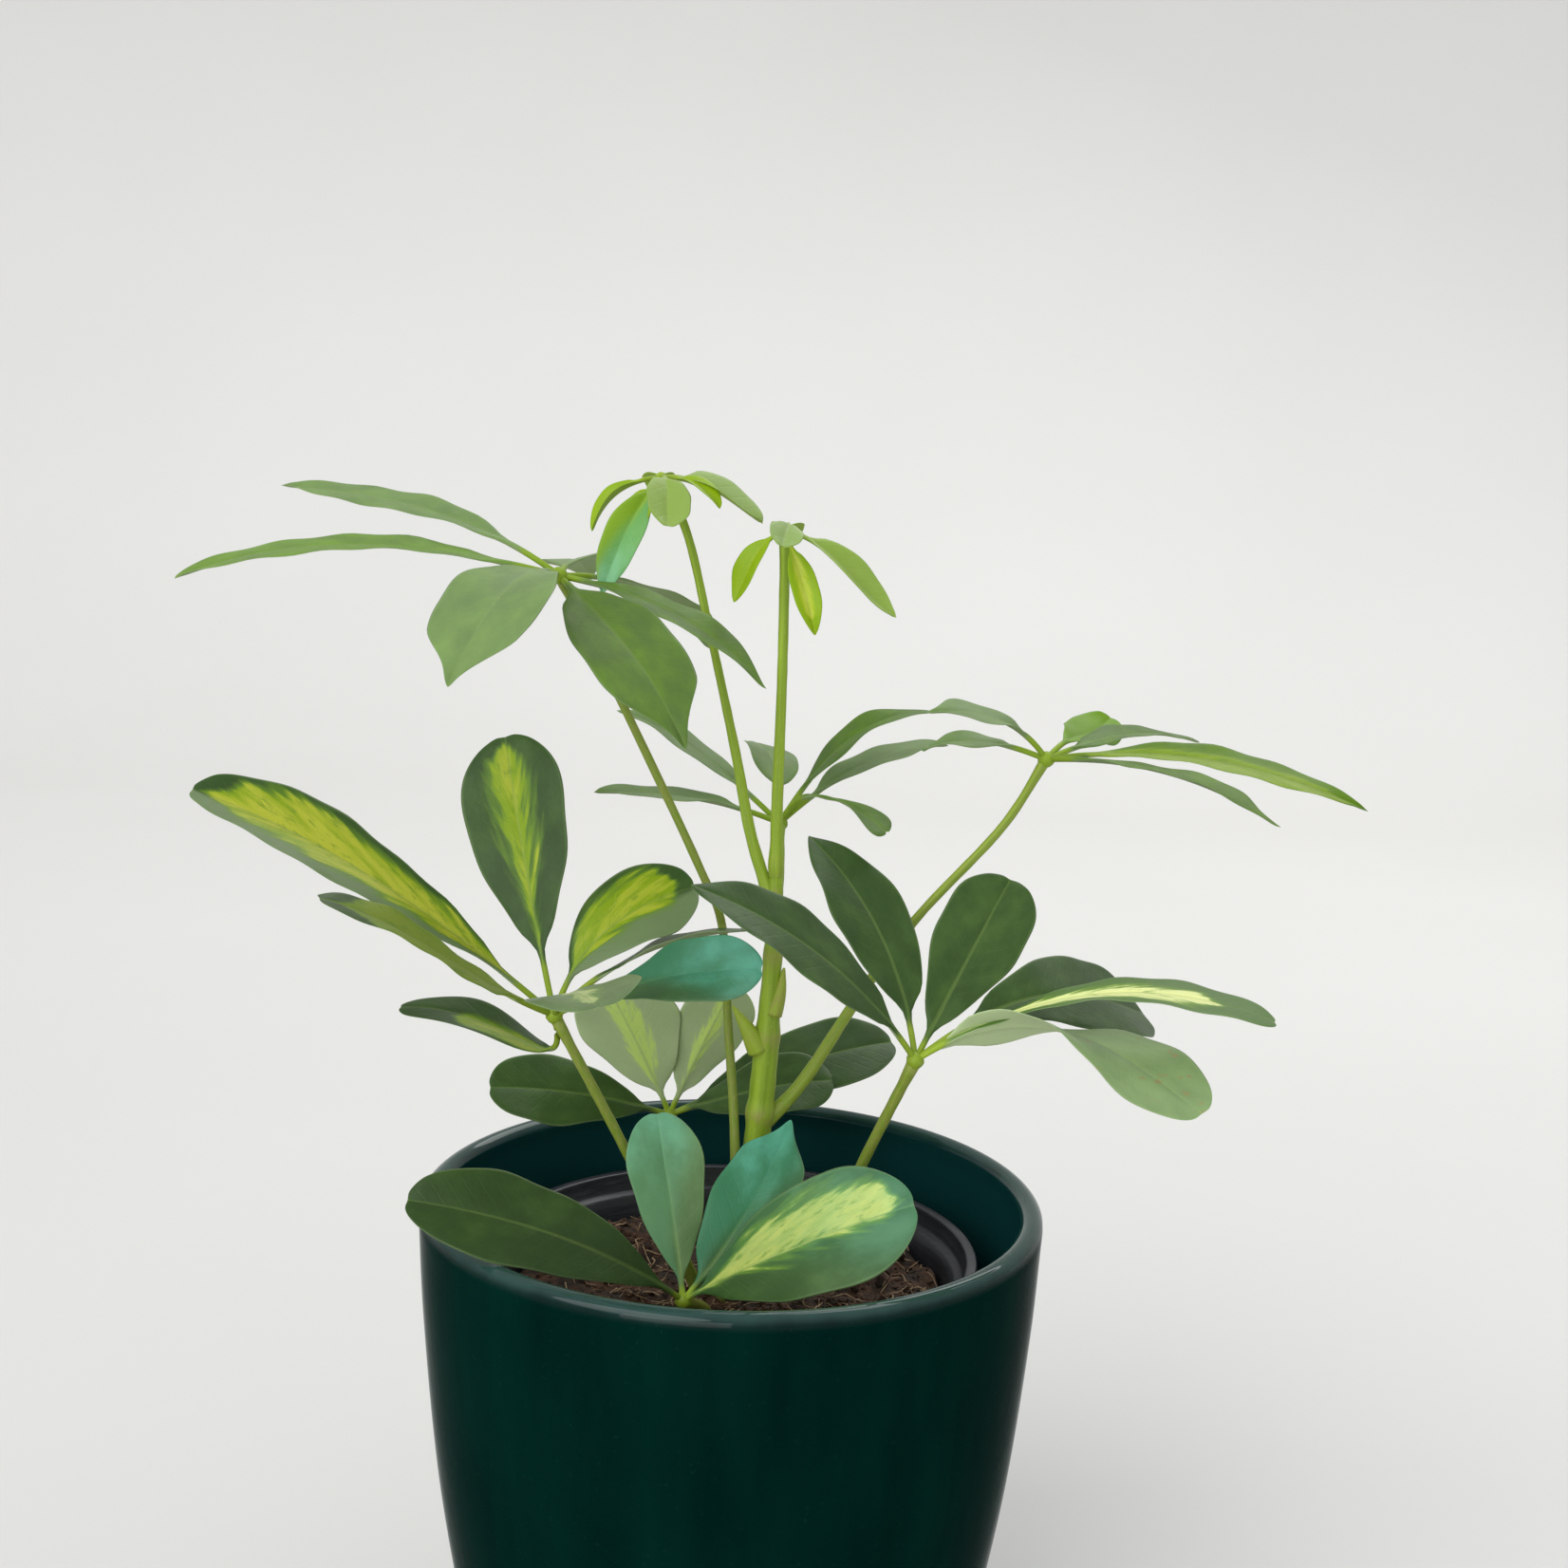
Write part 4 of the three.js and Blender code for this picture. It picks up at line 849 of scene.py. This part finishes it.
def makeCrumbs():
    bm = bmesh.new()
    for _ in range(mixture["crumbs"]):
        radius, angle = mixture["radius"] * math.sqrt(dice.random()) * 0.985, dice.uniform(0, 2 * math.pi)
        x, y = radius * math.cos(angle), radius * math.sin(angle)
        size = 0.35 + 1.5 * dice.random() ** 3
        crumb = bmesh.ops.create_icosphere(bm, subdivisions=1, radius=size)["verts"]
        turn = Matrix.Rotation(dice.uniform(0, 6), 3, Vector((dice.random(), dice.random(), 1)).normalized())
        stretch = Vector((dice.uniform(0.6, 1.6), dice.uniform(0.6, 1.1), dice.uniform(0.5, 0.9)))
        centre = Vector((x, y, soilHeightAt(x, y) + size * 0.1))
        for vert in crumb:
            rough = 1 + 0.5 * noise.noise(vert.co * 1.7 + centre)
            vert.co = turn @ (vert.co * stretch * rough) + centre
    finishPiece(bm, "coirCrumbs", [], ["coir"], smoothShade=False)


def makeFibres():
    bm = bmesh.new()
    for _ in range(mixture["fibres"]):
        radius, angle = mixture["radius"] * math.sqrt(dice.random()) * 0.95, dice.uniform(0, 2 * math.pi)
        x, y = radius * math.cos(angle), radius * math.sin(angle)
        way, length = dice.uniform(0, 2 * math.pi), dice.uniform(3, 10)
        points = []
        for _ in range(4):
            bend = dice.uniform(-0.8, 0.8)
            x += math.cos(way + bend) * length / 3
            y += math.sin(way + bend) * length / 3
            keep = min(1, (mixture["radius"] - 1) / max(math.hypot(x, y), 1e-3))
            x, y = x * keep, y * keep
            points.append((x, y, soilHeightAt(x, y) + dice.uniform(0.1, 1.6)))
        thick = dice.uniform(0.09, 0.2)
        stalkTube(bm, throughPoints(points, 3), lambda run, length, r=thick: r, 5, lambda run: (0, 0, 0))
    finishPiece(bm, "coirFibres", [], ["fibre"])


makeSoil()
makeCrumbs()
makeFibres()
print("potting mix made")


cove = {"width": 7.0, "front": -3.0, "back": 1.3, "bend": 0.9, "top": 3.4, "rows": 30}


# The floor and the wall behind it, which are one sheet with a rounded corner
def makeCove():
    c = cove
    line = [(c["front"], 0), *arc((c["back"], c["bend"]), c["bend"], -90, 0, c["rows"] - 2),
            (c["back"] + c["bend"], c["top"])]
    bm = bmesh.new()
    grid = bmesh.ops.create_grid(bm, x_segments=1, y_segments=c["rows"], size=0.5)["verts"]
    for vert in grid:
        y, z = line[round((vert.co.y + 0.5) * c["rows"])]
        vert.co = (vert.co.x * c["width"], y, z)
    for face in bm.faces:
        face.smooth = True
    mesh = bpy.data.meshes.new("floor")
    bm.to_mesh(mesh)
    bm.free()
    f = Finish("paleFloor")
    grain = f.cloud(f.place(), 3.0, 2.0)
    mesh.materials.append(f.surface(f.blend(grain, (0.67, 0.66, 0.635), (0.71, 0.70, 0.675)), 0.8))
    floor = bpy.data.objects.new("floor", mesh)
    bpy.context.scene.collection.objects.link(floor)


def addLight(name, kind, energy, place, target, **settings):
    data = bpy.data.lights.new(name, kind)
    data.energy = energy
    for setting, value in settings.items():
        setattr(data, setting, value)
    light = bpy.data.objects.new(name, data)
    light.location = place
    light.rotation_euler = (Vector(target) - Vector(place)).to_track_quat("-Z", "Y").to_euler()
    bpy.context.scene.collection.objects.link(light)


camera = {"place": (0.0087, -0.5044, 0.319), "tilt": 80.6, "lean": 2.2, "lens": 50, "sensor": 36}


def makeCamera():
    data = bpy.data.cameras.new("camera")
    data.lens, data.sensor_width = camera["lens"], camera["sensor"]
    viewer = bpy.data.objects.new("camera", data)
    viewer.matrix_world = (Matrix.Translation(camera["place"])
                           @ Matrix.Rotation(math.radians(camera["tilt"]), 4, "X")
                           @ Matrix.Rotation(math.radians(camera["lean"]), 4, "Z"))
    bpy.context.scene.collection.objects.link(viewer)
    bpy.context.scene.camera = viewer


softWorld = {"colour": (0.93, 0.96, 1.0, 1), "strength": 0.62}


def makeWorld():
    world = bpy.data.worlds.new("softWorld")
    world.use_nodes = True
    background = world.node_tree.nodes["Background"].inputs
    background["Color"].default_value = softWorld["colour"]
    background["Strength"].default_value = softWorld["strength"]
    bpy.context.scene.world = world


makeCove()
addLight("daylight", "SUN", 1.35, (-1.5, -1.9, 2.0), (0, 0, 0.1), angle=math.radians(50))
addLight("backLight", "AREA", 12, (0.5, 1.0, 1.6), (0, 0, 0.25), size=1.2)
addLight("frontLight", "AREA", 9, (-0.5, -1.7, 0.35), (0, 0, 0.2), size=1.2)
makeWorld()
makeCamera()
bpy.context.scene.view_settings.view_transform = "Standard"
print("studio made")
